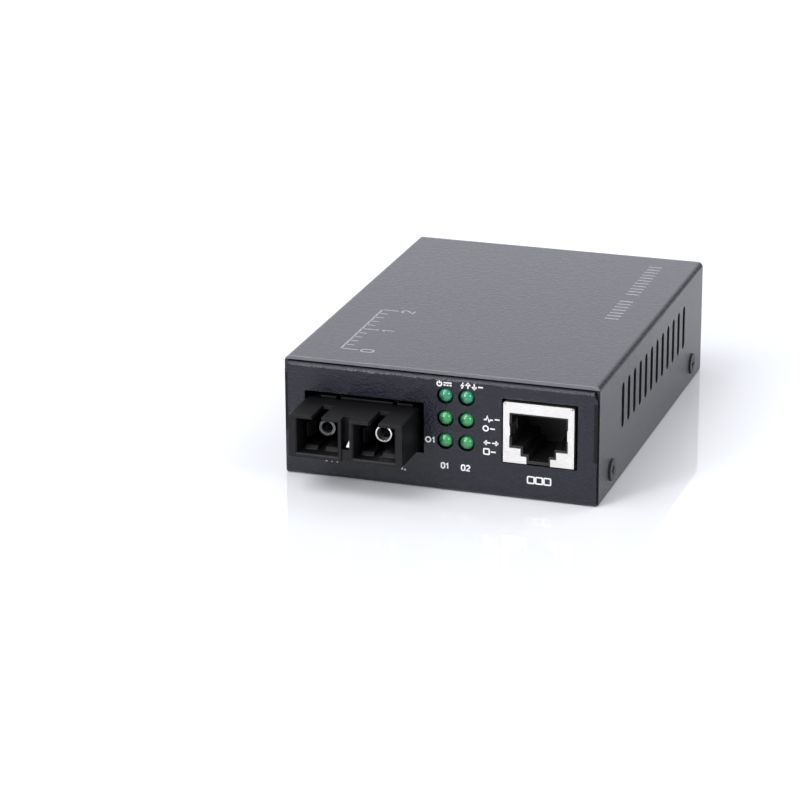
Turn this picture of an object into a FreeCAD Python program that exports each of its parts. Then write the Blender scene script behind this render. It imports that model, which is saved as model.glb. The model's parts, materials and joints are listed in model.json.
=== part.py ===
"""Fibre media converter: a folded-steel case with a copper-network socket, a duplex fibre
transceiver and six indicator lamps in front, and a round power inlet behind.

All lengths are millimetres. The origin is the centre of the tray's underside. +X runs to the
right along the front panel, +Y from the front panel to the rear panel, and +Z up.
Each function makes one piece of the product, and each piece is written to its own file.
"""

import FreeCAD
import Part
import math
import os

Vector = FreeCAD.Vector

# ---- Driving dimensions ---------------------------------------------------------------------

# Case
CASE_WIDTH = 70.0
CASE_DEPTH = 94.5
CASE_HEIGHT = 26.5
SHEET = 0.8                  # steel sheet of the tray and the cover
SEAT_GAP = 0.15              # play between the cover and the tray
TRAY_BEND = 1.0              # outer radius of the tray's bends
COVER_BEND = 1.2             # outer radius of the cover's bends
COVER_SETBACK = 1.0          # from a panel's face to the cover's edge
COVER_LIFT = 0.25            # from the underside to the lower edge of the cover's sides
FLANGE_LENGTH = 6.0          # top flange of each panel, under the cover
PANEL_INSET = 0.35           # panel's side edge to the case's side
FLANGE_INSET = 1.0           # flange's end to the case's side
CORNER_NOTCH = 1.2           # height of the slanted relief at a panel's top corners

# Side vents
VENT_COUNT = 12
VENT_PITCH = 5.0
VENT_WIDTH = 2.1
VENT_LOW = 11.0
VENT_HIGH = 21.3
VENT_FIRST = 20.3            # first slot's centre, behind the front panel's face
VENT_END_FACETS = 4          # flats in each slot's half-round end

# Cover screws
SCREW_HEIGHT = 4.4
SCREW_DEPTHS = (11.7, 84.4)  # behind the front panel's face
SCREW_RADIUS = 1.7
SCREW_HEAD_RADIUS = 2.45
SCREW_HEAD_PROUD = 0.35      # raised head's top, outside the cover
SCREW_HEAD_EDGE = 0.12       # bevel round the head's top
SCREW_SEAT = 0.05            # play between the head and its countersink
SCREW_LENGTH = 4.4
TAP_RADIUS = 1.8
SCREW_RECESS = (1.25, 1.3)   # half span and depth of the cross recess
TAB_WIDTH = 11.0
TAB_HEIGHT = 8.2
TAB_FOOT = 6.0               # part of an ear that lies on the floor

# Small turned forms that repeat inside the case are made in flats
SMALL_SIDES = 12
ROUND_SIDES = 20

# Circuit board
BOARD_THICKNESS = 1.6
BOARD_LIFT = 6.8             # underside of the board
BOARD_WIDTH = 62.8
BOARD_FRONT = 1.6            # behind the front panel's face
BOARD_REAR = 91.4
BOARD_CUT_BACK = (-2.6, 6.6)     # right end and depth of the recess behind the fibre port
BOARD_TOP = BOARD_LIFT + BOARD_THICKNESS
STANDOFF_PLACES = ((-28.0, 36.0), (28.0, 36.0), (-28.0, 78.0), (28.0, 78.0))
STANDOFF_ACROSS = 5.0        # across the flats of the hexagon
STANDOFF_BORE = 1.3
STANDOFF_BORE_DEPTH = 4.8
BOARD_HOLE_RADIUS = 1.75
BOARD_SCREW_RADIUS = 1.2
BOARD_SCREW_LENGTH = 4.2
BOARD_SCREW_HEAD_RADIUS = 2.6
BOARD_SCREW_HEAD_HEIGHT = 1.7
BOARD_SCREW_RECESS = (1.3, 1.0)
PIN_TAIL = 1.1               # length of a soldered pin under the board
PIN_SLOT = 0.33              # half size of a pin's square hole

# Network socket
JACK_X = 22.25
JACK_WIDTH = 15.5
JACK_HEIGHT = 13.5
JACK_LENGTH = 21.0
JACK_PROUD = 0.8             # shield's face, in front of the panel
JACK_SHELL = 0.25
JACK_CUTOUT_GAP = 0.55       # at each side
JACK_CUTOUT_RISE = 0.35      # above the shield
JACK_CUTOUT_DROP = 0.5       # below it
RELIEF_INSET = 0.35          # corner relief, from the shield's side and top
RELIEF_HALF = 0.2
WINDOW_HALF = 6.4
WINDOW_TOP = 19.55
WINDOW_SHOULDER = 11.7
LATCH_HALF = 3.9
LATCH_FLOOR = 10.0
NOTCH_HALF = 2.6
NOTCH_FLOOR = 8.6
CAVITY_INSET = 0.45          # socket walls inside the shield's window
CAVITY_DEPTH = 13.6
FINGER_LOW = 14.4            # height range of the shield's side springs
FINGER_HIGH = 16.6
FINGER_PLAY = 0.2
GROOVE_ROOF = 20.95          # roof of the contact grooves
CONTACT_CEILING = 20.6       # where the contacts run forward
CONTACT_TIP = (11.6, 17.1)   # free end: behind the shield's face, and height
CONTACT_FEET = (17.6, 15.2)  # two staggered rows, behind the panel's face
CONTACT_COUNT = 8
CONTACT_PITCH = 1.02
CONTACT_WIDTH = 0.45
CONTACT_THICKNESS = 0.35

# Indicator lamps
LAMP_COLUMNS = (1.45, 6.15)
LAMP_ROWS = (21.5, 16.4, 11.3)
LAMP_RADIUS = 1.62
LAMP_PROUD = 0.75
LAMP_HOLE_RADIUS = 1.85
LAMP_LEAD = 0.5
LAMP_LEAD_PITCH = 2.1
LAMP_LEAD_TURN = 8.4         # where the lowest lamp's leads bend down
LAMP_LEAD_STEP = 1.5
LAMP_BACK = 5.0              # back of a lamp's body, behind the panel's face
DOME_ANGLES = (0, 32, 58, 80)    # degrees of the flats' rings up a lamp's dome
STAND_HALF = 2.25
STAND_FRONT = 2.2            # lamp stand, behind the panel's face
STAND_REAR = 7.0
STAND_RIM = 2.6              # above the highest lamp's centre

# Fibre transceiver
PORT_PITCH = 12.7
FIBRE_X = -17.3
PORT_CENTRES = (FIBRE_X - PORT_PITCH / 2, FIBRE_X + PORT_PITCH / 2)
NOSE_WIDTH = 25.4
NOSE_LOW = 8.15
NOSE_HIGH = 17.7
NOSE_REACH = 10.8            # nose in front of the panel's face
PORT_WIDTH = 9.2
PORT_HEIGHT = 7.6
PORT_DEPTH = 15.2
PORT_Z = 12.95
KEYWAY_WIDTH = 2.24
KEYWAY_LENGTH = 7.6
RIB_HEIGHT = 0.75            # guide ribs on a port's floor
RIB_SETBACK = 2.8
RIB_INNER = 0.9
RIB_OUTER = 3.8
GROOVE_WIDTH = 1.84
GROOVE_DEPTH = 2.4
SLEEVE_RADIUS = 1.88
SLEEVE_LIP = 1.52            # inner radius of the thin metal sleeve
FERRULE_BORE = 1.25          # takes a 2.5 ferrule
LINER_RADIUS = 1.5
LINER_SETBACK = 1.2          # liner's end, inside the sleeve's mouth
LINER_SLIT = 0.4
SLEEVE_SETBACK = 6.7         # sleeve's mouth, behind the nose's face
SLEEVE_END = 0.8             # thickness of its closed end
FIBRE_CUTOUT = (-30.2, -3.3, 8.0, 19.4)

# Power inlet
INLET_X = 18.0
INLET_Z = 14.9
INLET_WIDTH = 9.0
INLET_HEIGHT = 11.0
INLET_LENGTH = 13.4
INLET_COLLAR = 3.9
INLET_BORE = 3.15
INLET_BORE_DEPTH = 9.4
INLET_PIN = 1.0
INLET_PIN_SETBACK = 1.3

# Derived faces
FRONT = -CASE_DEPTH / 2
REAR = CASE_DEPTH / 2
HALF = CASE_WIDTH / 2
FLOOR_HALF = HALF - SHEET - SEAT_GAP
FLANGE_TOP = CASE_HEIGHT - SHEET - SEAT_GAP


# ---- Helpers --------------------------------------------------------------------------------

def behind(distance):
    """The Y of a plane at a distance behind the front panel's face."""
    return FRONT + distance


def block(x0, x1, y0, y1, z0, z1):
    """A box between two corners."""
    return Part.makeBox(x1 - x0, y1 - y0, z1 - z0, Vector(x0, y0, z0))


def block_about(x, half, y0, y1, z0, z1):
    """A box centred on x, between two Y and two Z planes."""
    return block(x - half, x + half, y0, y1, z0, z1)


def rod(radius, start, end):
    """A cylinder from one point to another."""
    axis = end - start
    return Part.makeCylinder(radius, axis.Length, start, axis)


def taper(radius_start, radius_end, start, end):
    """A cone frustum from one point to another."""
    axis = end - start
    return Part.makeCone(radius_start, radius_end, axis.Length, start, axis)


def in_flats(profile, sides):
    """A turned form about the Z axis in flats: rings of corners at (radius, height)."""
    rings = []
    for radius, height in profile:
        turns = [2 * math.pi * step / sides for step in range(sides)]
        ring = [Vector(radius * math.cos(turn), radius * math.sin(turn), height) for turn in turns]
        rings.append(ring + ring[:1])
    faces = [Part.Face(Part.makePolygon(ring)) for ring in (rings[0], rings[-1])]
    for lower, upper in zip(rings, rings[1:]):
        for step in range(sides):
            flat = [lower[step], lower[step + 1], upper[step + 1], upper[step], lower[step]]
            faces.append(Part.Face(Part.makePolygon(flat)))
    solid = Part.makeSolid(Part.makeShell(faces))
    return solid if solid.Volume > 0 else solid.reversed()


def fused(shapes):
    """One solid out of pieces that meet, with the seams between them removed."""
    return shapes[0].fuse(shapes[1:]).removeSplitter()


def rounded(shape, radius, wanted):
    """Fillets the edges whose middle point satisfies the test."""
    edges = [edge for edge in shape.Edges if wanted(edge)]
    return shape.makeFillet(radius, edges)


def runs_along(edge, axis):
    """True for a straight edge parallel to an axis."""
    if edge.Curve.TypeId != "Part::GeomLine":
        return False
    return abs(abs(edge.Curve.Direction.dot(axis)) - 1) < 1e-6


ALONG_X = Vector(1, 0, 0)
ALONG_Y = Vector(0, 1, 0)
ALONG_Z = Vector(0, 0, 1)


def in_yz(x):
    """Places a flat (y, z) outline on the plane X = x."""
    return lambda point: Vector(x, point[0], point[1])


def in_xz(y):
    """Places a flat (x, z) outline on the plane Y = y."""
    return lambda point: Vector(point[0], y, point[1])


def in_xy(z):
    """Places a flat (x, y) outline on the plane Z = z."""
    return lambda point: Vector(point[0], point[1], z)


def prism(points, place, direction):
    """A closed polygon, pushed along a direction."""
    corners = [place(point) for point in points]
    return Part.Face(Part.makePolygon(corners + corners[:1])).extrude(direction)


def offset_side(corners, bend, shift):
    """One side of a bent strip: lines and arcs at a sideways shift from its middle line."""
    pieces = []
    start = None
    for index, corner in enumerate(corners):
        here = Vector(corner[0], corner[1], 0)
        if index == 0:
            heading = unit(corners[0], corners[1])
            start = here + left_of(heading) * shift
            continue
        before = unit(corners[index - 1], corner)
        if index == len(corners) - 1:
            pieces.append((start, None, here + left_of(before) * shift))
            continue
        after = unit(corner, corners[index + 1])
        turn = before.x * after.y - before.y * after.x
        side = math.copysign(1, turn)
        reach = bend * math.tan(before.getAngle(after) / 2)
        arc_start = here - before * reach
        centre = arc_start + left_of(before) * (bend * side)
        outward = (here - centre).normalize()
        radius = bend - shift * side
        arc_in = arc_start + left_of(before) * shift
        arc_out = here + after * reach + left_of(after) * shift
        pieces.append((start, None, arc_in))
        pieces.append((arc_in, centre + outward * radius, arc_out))
        start = arc_out
    return pieces


def unit(a, b):
    """The flat direction from one (u, v) point to the next."""
    return Vector(b[0] - a[0], b[1] - a[1], 0).normalize()


def left_of(direction):
    """The flat direction a quarter turn to the left."""
    return Vector(-direction.y, direction.x, 0)


def bent_strip(corners, bend, thickness, place, direction):
    """A strip of sheet or wire folded along a line of corners, pushed along a direction.

    The corners are those of the strip's middle line, and bend is that line's radius.
    """
    left = offset_side(corners, bend, thickness / 2)
    right = offset_side(corners, bend, -thickness / 2)
    back = [(end, middle, start) for start, middle, end in reversed(right)]
    caps = [(left[-1][2], None, back[0][0]), (back[-1][2], None, left[0][0])]
    edges = []
    for start, middle, end in left + caps[:1] + back + caps[1:]:
        if (end - start).Length < 1e-6:
            continue
        a = place((start.x, start.y))
        b = place((end.x, end.y))
        if middle is None:
            edges.append(Part.LineSegment(a, b).toShape())
        else:
            edges.append(Part.Arc(a, place((middle.x, middle.y)), b).toShape())
    return Part.Face(Part.Wire(edges)).extrude(direction)


def slot_through_sides(y, width, low, high):
    """A vertical slot through both sides of the case, each end a half circle in a few facets."""
    radius = width / 2
    outline = []
    for centre, start in ((high - radius, 0), (low + radius, math.pi)):
        for step in range(VENT_END_FACETS + 1):
            angle = start + math.pi * step / VENT_END_FACETS
            outline.append((y + radius * math.cos(angle), centre + radius * math.sin(angle)))
    return prism(outline, in_yz(-HALF - 1), ALONG_X * (CASE_WIDTH + 2))


def creased_strip(corners, thickness, place, direction):
    """A strip folded with sharp creases along the corners of its middle line."""
    sides = ([], [])
    for index, corner in enumerate(corners):
        before = unit(corners[max(index - 1, 0)], corners[max(index, 1)])
        last = len(corners) - 1
        after = unit(corners[min(index, last - 1)], corners[min(index + 1, last)])
        normals = left_of(before) + left_of(after)
        mitre = normals / (1 + before.dot(after))
        for side, sign in zip(sides, (1, -1)):
            shift = mitre * (sign * thickness / 2)
            side.append((corner[0] + shift.x, corner[1] + shift.y))
    return prism(sides[0] + sides[1][::-1], place, direction)


def gull_lead(reach, drop, foot, thickness, width, place):
    """A chip's flat lead: out of the body, down and out again to its pad."""
    shoulder = reach - foot
    corners = [(0.0, drop), (shoulder, drop), (shoulder + 0.1, thickness / 2), (reach, thickness / 2)]
    return creased_strip(corners, thickness, place, ALONG_Y * width)


def lead_row(count, pitch, body_half, reach, drop, foot, thickness, width):
    """A row of chip leads that leave the body towards +X, centred on Y = 0."""
    first = -pitch * (count - 1) / 2 - width / 2
    rows = []
    for index in range(count):
        lead = gull_lead(reach, drop, foot, thickness, width, in_xz(first + index * pitch))
        lead.translate(Vector(body_half, 0, 0))
        rows.append(lead)
    return rows


def turned(shape, degrees):
    """A copy turned about the Z axis."""
    copy = shape.copy()
    copy.rotate(Vector(0, 0, 0), ALONG_Z, degrees)
    return copy


def on_board(shapes, x, y):
    """Chip parts, moved to a place on the board."""
    for shape in shapes:
        shape.translate(Vector(x, behind(y), BOARD_TOP))
    return shapes


def chip_body(width, depth, low, high):
    """A moulded chip body about the origin, with its draft as a small bevel."""
    body = block(-width / 2, width / 2, -depth / 2, depth / 2, low, high)
    return body.makeChamfer(0.15, [edge for edge in body.Edges if not runs_along(edge, ALONG_Z)])


# ---- Case -----------------------------------------------------------------------------------

def make_tray():
    """Floor, front panel and rear panel, folded from one sheet."""
    middle = SHEET / 2
    bend = TRAY_BEND - middle
    top = FLANGE_TOP - middle
    line = [
        (FRONT + FLANGE_LENGTH, top),
        (FRONT + middle, top),
        (FRONT + middle, middle),
        (REAR - middle, middle),
        (REAR - middle, top),
        (REAR - FLANGE_LENGTH, top),
    ]
    tray = bent_strip(line, bend, SHEET, in_yz(-HALF), ALONG_X * CASE_WIDTH)
    tray = tray.cut(tray_trimmings())
    tray = tray.fuse([screw_tab(side, depth) for side in (-1, 1) for depth in SCREW_DEPTHS])
    tray = tray.removeSplitter()
    return tray.cut(tray_openings())


def tray_trimmings():
    """What the blank loses beside the floor and the panels, and round the flanges' ends."""
    cuts = []
    edge = TRAY_BEND - 0.05
    shoulder = FLANGE_TOP - TRAY_BEND / 2
    for side in (-1, 1):
        outer = side * (HALF + 1)
        panel_end = side * (HALF - PANEL_INSET)
        flange_end = side * (HALF - FLANGE_INSET)
        floor_x = sorted((side * FLOOR_HALF, outer))
        cuts.append(block(*floor_x, FRONT + edge, REAR - edge, -1, FLANGE_TOP + 1))
        corner = [
            (panel_end, -1),
            (outer, -1),
            (outer, FLANGE_TOP + 1),
            (flange_end, FLANGE_TOP + 1),
            (flange_end, shoulder),
            (panel_end, shoulder - CORNER_NOTCH),
        ]
        cuts.append(prism(corner, in_xz(FRONT - 1), ALONG_Y * (CASE_DEPTH + 2)))
    return cuts


def screw_tab(side, depth):
    """An ear folded up from the floor, which a cover screw is threaded into."""
    middle = SHEET / 2
    line = [
        (side * (FLOOR_HALF - TAB_FOOT), middle),
        (side * (FLOOR_HALF - middle), middle),
        (side * (FLOOR_HALF - middle), TAB_HEIGHT),
    ]
    start = behind(depth - TAB_WIDTH / 2)
    return creased_strip(line, SHEET, in_xz(start), ALONG_Y * TAB_WIDTH)


def tray_openings():
    """Cut-outs for the socket, the transceiver, the lamps, the inlet and the cover screws."""
    through = (FRONT - 1, FRONT + SHEET + 1)
    jack_half = JACK_WIDTH / 2 + JACK_CUTOUT_GAP
    cuts = [
        block_about(JACK_X, jack_half, *through, BOARD_TOP - JACK_CUTOUT_DROP,
                    BOARD_TOP + JACK_HEIGHT + JACK_CUTOUT_RISE),
        block(FIBRE_CUTOUT[0], FIBRE_CUTOUT[1], *through, FIBRE_CUTOUT[2], FIBRE_CUTOUT[3]),
        rod(INLET_COLLAR + 0.2, Vector(INLET_X, REAR - SHEET - 1, INLET_Z),
            Vector(INLET_X, REAR + 1, INLET_Z)),
    ]
    for x in LAMP_COLUMNS:
        for z in LAMP_ROWS:
            cuts.append(rod(LAMP_HOLE_RADIUS, Vector(x, through[0], z), Vector(x, through[1], z)))
    cuts += [screw_tap(side, depth) for side in (-1, 1) for depth in SCREW_DEPTHS]
    return cuts


def screw_space(side, depth):
    """The countersink and the clearance hole of one cover screw."""
    y = behind(depth)
    rim = SCREW_HEAD_RADIUS + SCREW_SEAT
    face = Vector(side * HALF, y, SCREW_HEIGHT)
    neck = Vector(side * (HALF - rim + TAP_RADIUS), y, SCREW_HEIGHT)
    inside = Vector(side * (HALF - 2 * SHEET), y, SCREW_HEIGHT)
    return fused([taper(rim, TAP_RADIUS, face, neck), rod(TAP_RADIUS, neck, inside)])


def screw_tap(side, depth):
    """The threaded hole of one cover screw in its ear."""
    hole = in_flats([(TAP_RADIUS, 0), (TAP_RADIUS, 2 * SCREW_LENGTH)], SMALL_SIDES)
    hole.rotate(Vector(0, 0, 0), ALONG_Y, -90 * side)
    hole.translate(Vector(side * (HALF - SHEET / 2), behind(depth), SCREW_HEIGHT))
    return hole


def make_cover():
    """Top and both sides, folded from one sheet, with the vents and four countersunk holes."""
    middle = SHEET / 2
    wall = HALF - middle
    top = CASE_HEIGHT - middle
    line = [(-wall, COVER_LIFT), (-wall, top), (wall, top), (wall, COVER_LIFT)]
    length = CASE_DEPTH - 2 * COVER_SETBACK
    cover = bent_strip(line, COVER_BEND - middle, SHEET, in_xz(FRONT + COVER_SETBACK),
                       ALONG_Y * length)
    cuts = []
    for index in range(VENT_COUNT):
        y = behind(VENT_FIRST + index * VENT_PITCH)
        cuts.append(slot_through_sides(y, VENT_WIDTH, VENT_LOW, VENT_HIGH))
    cuts += [screw_space(side, depth) for side in (-1, 1) for depth in SCREW_DEPTHS]
    return cover.cut(cuts)


def cross_recess(size, deep):
    """A cross-head driver recess about the Z axis, going down from Z = 0."""
    narrow = 0.4 * size
    wings = []
    for angle in (0, 90):
        wing = [(-size, 0.1), (size, 0.1), (size, 0), (narrow, -deep), (-narrow, -deep), (-size, 0)]
        flat = prism(wing, in_xz(-narrow / 2), ALONG_Y * narrow)
        wings.append(turned(flat, angle))
    return fused(wings)


def make_cover_screws():
    """Four countersunk screws with raised heads, two in each side."""
    profile = [
        (SCREW_RADIUS, -SCREW_LENGTH),
        (SCREW_RADIUS, SCREW_RADIUS - SCREW_HEAD_RADIUS),
        (SCREW_HEAD_RADIUS, 0),
        (SCREW_HEAD_RADIUS, SCREW_HEAD_PROUD - SCREW_HEAD_EDGE),
        (SCREW_HEAD_RADIUS - SCREW_HEAD_EDGE, SCREW_HEAD_PROUD),
    ]
    recess = cross_recess(*SCREW_RECESS)
    recess.translate(Vector(0, 0, SCREW_HEAD_PROUD))
    screws = []
    for side in (-1, 1):
        for depth in SCREW_DEPTHS:
            screw = in_flats(profile, ROUND_SIDES).cut(recess)
            screw.rotate(Vector(0, 0, 0), ALONG_Z, depth)
            screw.rotate(Vector(0, 0, 0), ALONG_Y, 90 * side)
            screw.translate(Vector(side * HALF, behind(depth), SCREW_HEIGHT))
            screws.append(screw)
    return Part.Compound(screws)


# ---- Board and its supports -----------------------------------------------------------------

def make_standoffs():
    """Four hexagonal brass posts, fixed to the floor, that carry the board."""
    posts = []
    corner = STANDOFF_ACROSS / math.sqrt(3)
    for x, depth in STANDOFF_PLACES:
        y = behind(depth)
        hexagon = [(x + corner * math.cos(turn), y + corner * math.sin(turn))
                   for turn in (math.pi * step / 3 for step in range(6))]
        post = prism(hexagon, in_xy(SHEET), ALONG_Z * (BOARD_LIFT - SHEET))
        hole = in_flats([(STANDOFF_BORE, 0), (STANDOFF_BORE, BOARD_LIFT)], SMALL_SIDES)
        hole.translate(Vector(x, y, BOARD_LIFT - STANDOFF_BORE_DEPTH))
        posts.append(post.cut(hole))
    return Part.Compound(posts)


def make_board():
    """The circuit board: cut back behind the fibre port, with the holes of screws and pins."""
    half = BOARD_WIDTH / 2
    board = block(-half, half, behind(BOARD_FRONT), behind(BOARD_REAR), BOARD_LIFT, BOARD_TOP)
    cuts = [block(-half - 1, BOARD_CUT_BACK[0], FRONT, behind(BOARD_CUT_BACK[1]),
                  BOARD_LIFT - 1, BOARD_TOP + 1)]
    for x, depth in STANDOFF_PLACES:
        hole = in_flats([(BOARD_HOLE_RADIUS, -1), (BOARD_HOLE_RADIUS, BOARD_THICKNESS + 1)],
                        SMALL_SIDES)
        hole.translate(Vector(x, behind(depth), BOARD_LIFT))
        cuts.append(hole)
    for x, y, half_x, half_y in board_pins():
        cuts.append(block(x - half_x, x + half_x, y - half_y, y + half_y,
                          BOARD_LIFT - 1, BOARD_TOP + 1))
    return board.cut(cuts)


def board_pins():
    """Places and half sizes of the slots that the soldered pins go through."""
    pins = contact_feet() + lamp_feet() + transceiver_feet()
    places = [(x, y, PIN_SLOT, PIN_SLOT) for x, y in pins]
    places += [(x, y, 0.9, 0.9) for x, y in transceiver_studs()]
    places += [(x, y, 1.0, 0.3) for x, y in inlet_feet()]
    places += [(x, y, 0.25, 0.9) for x, y in shield_feet()]
    return places


def make_board_screws():
    """Four cheese-head screws that hold the board on its posts."""
    screws = []
    for x, depth in STANDOFF_PLACES:
        profile = [
            (BOARD_SCREW_RADIUS, -BOARD_SCREW_LENGTH),
            (BOARD_SCREW_RADIUS, 0),
            (BOARD_SCREW_HEAD_RADIUS, 0),
            (BOARD_SCREW_HEAD_RADIUS, BOARD_SCREW_HEAD_HEIGHT),
        ]
        recess = cross_recess(*BOARD_SCREW_RECESS)
        recess.translate(Vector(0, 0, BOARD_SCREW_HEAD_HEIGHT))
        screw = in_flats(profile, ROUND_SIDES).cut(recess)
        screw.translate(Vector(x, behind(depth), BOARD_TOP))
        screws.append(screw)
    return Part.Compound(screws)


# ---- Network socket -------------------------------------------------------------------------

def socket_space(inset, y0, y1):
    """The stepped room for a network plug: its body, its latch and the latch's nib."""
    shoulder = WINDOW_SHOULDER + inset
    steps = [
        block_about(JACK_X, WINDOW_HALF - inset, y0, y1, shoulder, WINDOW_TOP - inset),
        block_about(JACK_X, LATCH_HALF - inset, y0, y1, LATCH_FLOOR + inset, shoulder + 1),
        block_about(JACK_X, NOTCH_HALF - inset, y0, y1, NOTCH_FLOOR + inset, shoulder + 1),
    ]
    return fused(steps)


def jack_hull(shrink, y0, y1, low):
    """The socket's outer form, smaller by a shrink on the sides and top."""
    hull = block_about(JACK_X, JACK_WIDTH / 2 - shrink, y0, y1, low,
                       BOARD_TOP + JACK_HEIGHT - shrink)
    return rounded(hull, 0.5 - shrink / 2, lambda edge: runs_along(edge, ALONG_Y)
                   and edge.BoundBox.ZMin > BOARD_TOP + 1)


def shield_feet():
    """Where the shield's two solder tabs go through the board."""
    middle = (JACK_WIDTH - JACK_SHELL) / 2
    return [(JACK_X + side * middle, behind(9.0)) for side in (-1, 1)]


def shield_tabs():
    """Two solder tabs of the shield."""
    low = BOARD_LIFT - PIN_TAIL
    return [block_about(x, JACK_SHELL / 2, y - 0.8, y + 0.8, low, BOARD_TOP + 1)
            for x, y in shield_feet()]


def shield_fingers():
    """Springs at the window's sides: each turns into the socket and touches the plug."""
    fingers = []
    face = FRONT - JACK_PROUD
    rise = ALONG_Z * (FINGER_HIGH - FINGER_LOW)
    for side in (-1, 1):
        edge = JACK_X + side * (WINDOW_HALF + 0.6)
        line = [
            (edge, face + JACK_SHELL / 2),
            (JACK_X + side * (WINDOW_HALF - 0.05), face + JACK_SHELL / 2),
            (JACK_X + side * (WINDOW_HALF - 0.35), face + 2.4),
            (JACK_X + side * (WINDOW_HALF + 0.15), face + 4.4),
        ]
        fingers.append(creased_strip(line, JACK_SHELL, in_xy(FINGER_LOW), rise))
    return fingers


def make_jack_shield():
    """The drawn metal shield round the socket, with its window, springs and solder tabs."""
    face = FRONT - JACK_PROUD
    back = face + JACK_LENGTH
    outer = jack_hull(0.0, face, back, BOARD_TOP)
    inner = jack_hull(JACK_SHELL, face + JACK_SHELL, back - JACK_SHELL, BOARD_TOP - 1)
    window = socket_space(0.0, face - 1, face + 1)
    latch_gap = block_about(JACK_X, NOTCH_HALF, face - 1, face + JACK_SHELL,
                            BOARD_TOP - 1, NOTCH_FLOOR + 1)
    shell = outer.cut([inner, window, latch_gap])
    shell = fused([shell] + shield_tabs() + shield_fingers())
    reliefs = []
    for side in (-1, 1):
        x = JACK_X + side * (JACK_WIDTH / 2 - RELIEF_INSET)
        z = BOARD_TOP + JACK_HEIGHT - RELIEF_INSET
        reliefs.append(block_about(x, RELIEF_HALF, face - 1, face + JACK_SHELL,
                                   z - RELIEF_HALF, z + RELIEF_HALF))
    return shell.cut(reliefs)


def contact_columns():
    """The X of each contact, left to right."""
    first = JACK_X - CONTACT_PITCH * (CONTACT_COUNT - 1) / 2
    return [first + index * CONTACT_PITCH for index in range(CONTACT_COUNT)]


def contact_foot_depth(index):
    """Contacts enter the board in two staggered rows."""
    return CONTACT_FEET[index % 2]


def contact_feet():
    """Where the contacts go through the board."""
    return [(x, behind(contact_foot_depth(index))) for index, x in enumerate(contact_columns())]


def make_jack_insert():
    """The moulded socket body inside the shield, with the plug's room and the contact grooves."""
    face = FRONT - JACK_PROUD
    play = 0.05
    start = face + JACK_SHELL + play
    back = face + JACK_LENGTH - JACK_SHELL - play
    body = jack_hull(JACK_SHELL + play, start, back, BOARD_TOP)
    cuts = [socket_space(CAVITY_INSET, start - 1, face + CAVITY_DEPTH)]
    for side in (-1, 1):
        x = sorted((JACK_X, JACK_X + side * (WINDOW_HALF + 0.75)))
        cuts.append(block(*x, start - 1, face + 4.8, FINGER_LOW - FINGER_PLAY,
                          FINGER_HIGH + FINGER_PLAY))
    for index, x in enumerate(contact_columns()):
        foot = behind(contact_foot_depth(index))
        cuts.append(block_about(x, 0.3, face + 1.5, foot + 0.3, WINDOW_TOP - 2, GROOVE_ROOF))
        cuts.append(block_about(x, 0.3, foot - 0.3, foot + 0.3, BOARD_TOP - 1, GROOVE_ROOF))
    return body.cut(cuts)


def make_jack_contacts():
    """Eight spring contacts: up from the board, forward over the socket and back down into it."""
    face = FRONT - JACK_PROUD
    contacts = []
    for index, x in enumerate(contact_columns()):
        foot = behind(contact_foot_depth(index))
        line = [
            (foot, BOARD_LIFT - PIN_TAIL),
            (foot, CONTACT_CEILING),
            (face + 2.0, CONTACT_CEILING),
            (face + 2.0, CONTACT_CEILING - 1.0),
            (face + CONTACT_TIP[0], CONTACT_TIP[1]),
        ]
        contacts.append(creased_strip(line, CONTACT_THICKNESS, in_yz(x - CONTACT_WIDTH / 2),
                                      ALONG_X * CONTACT_WIDTH))
    return Part.Compound(contacts)


# ---- Indicator lamps ------------------------------------------------------------------------

def lamp_lead_depth(row):
    """The lowest lamp's leads bend down first, the highest lamp's last."""
    return LAMP_LEAD_TURN + LAMP_LEAD_STEP * (len(LAMP_ROWS) - 1 - row)


def lamp_feet():
    """Where the lamps' leads go through the board."""
    feet = []
    for x in LAMP_COLUMNS:
        for row in range(len(LAMP_ROWS)):
            for side in (-1, 1):
                feet.append((x + side * LAMP_LEAD_PITCH / 2, behind(lamp_lead_depth(row))))
    return feet


def make_lamp_stand(x):
    """A moulded stand that holds one column of three lamps behind the panel."""
    stand = block_about(x, STAND_HALF, behind(STAND_FRONT), behind(STAND_REAR), BOARD_TOP,
                        LAMP_ROWS[0] + STAND_RIM)
    room = LAMP_RADIUS + 0.05
    cells = [block_about(x, room, behind(STAND_FRONT - 1), behind(STAND_REAR + 1), z - room, z + room)
             for z in LAMP_ROWS]
    return stand.cut(cells)


def make_lamp(x, z):
    """A small lamp: a clear round body with a domed end, both in flats."""
    length = LAMP_BACK + LAMP_PROUD - LAMP_RADIUS
    profile = [(LAMP_RADIUS, 0)]
    for degrees in DOME_ANGLES:
        turn = math.radians(degrees)
        profile.append((LAMP_RADIUS * math.cos(turn), length + LAMP_RADIUS * math.sin(turn)))
    lamp = in_flats(profile, ROUND_SIDES)
    lamp.rotate(Vector(0, 0, 0), ALONG_X, 90)
    lamp.translate(Vector(x, behind(LAMP_BACK), z))
    return lamp


def make_lamp_leads():
    """Two square leads for each lamp, bent down into the board."""
    leads = []
    for x in LAMP_COLUMNS:
        for row, z in enumerate(LAMP_ROWS):
            turn = behind(lamp_lead_depth(row))
            line = [(behind(LAMP_BACK), z), (turn, z), (turn, BOARD_LIFT - PIN_TAIL)]
            for side in (-1, 1):
                start = x + side * LAMP_LEAD_PITCH / 2 - LAMP_LEAD / 2
                leads.append(creased_strip(line, LAMP_LEAD, in_yz(start), ALONG_X * LAMP_LEAD))
    return Part.Compound(leads)


# ---- Fibre transceiver ----------------------------------------------------------------------

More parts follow.
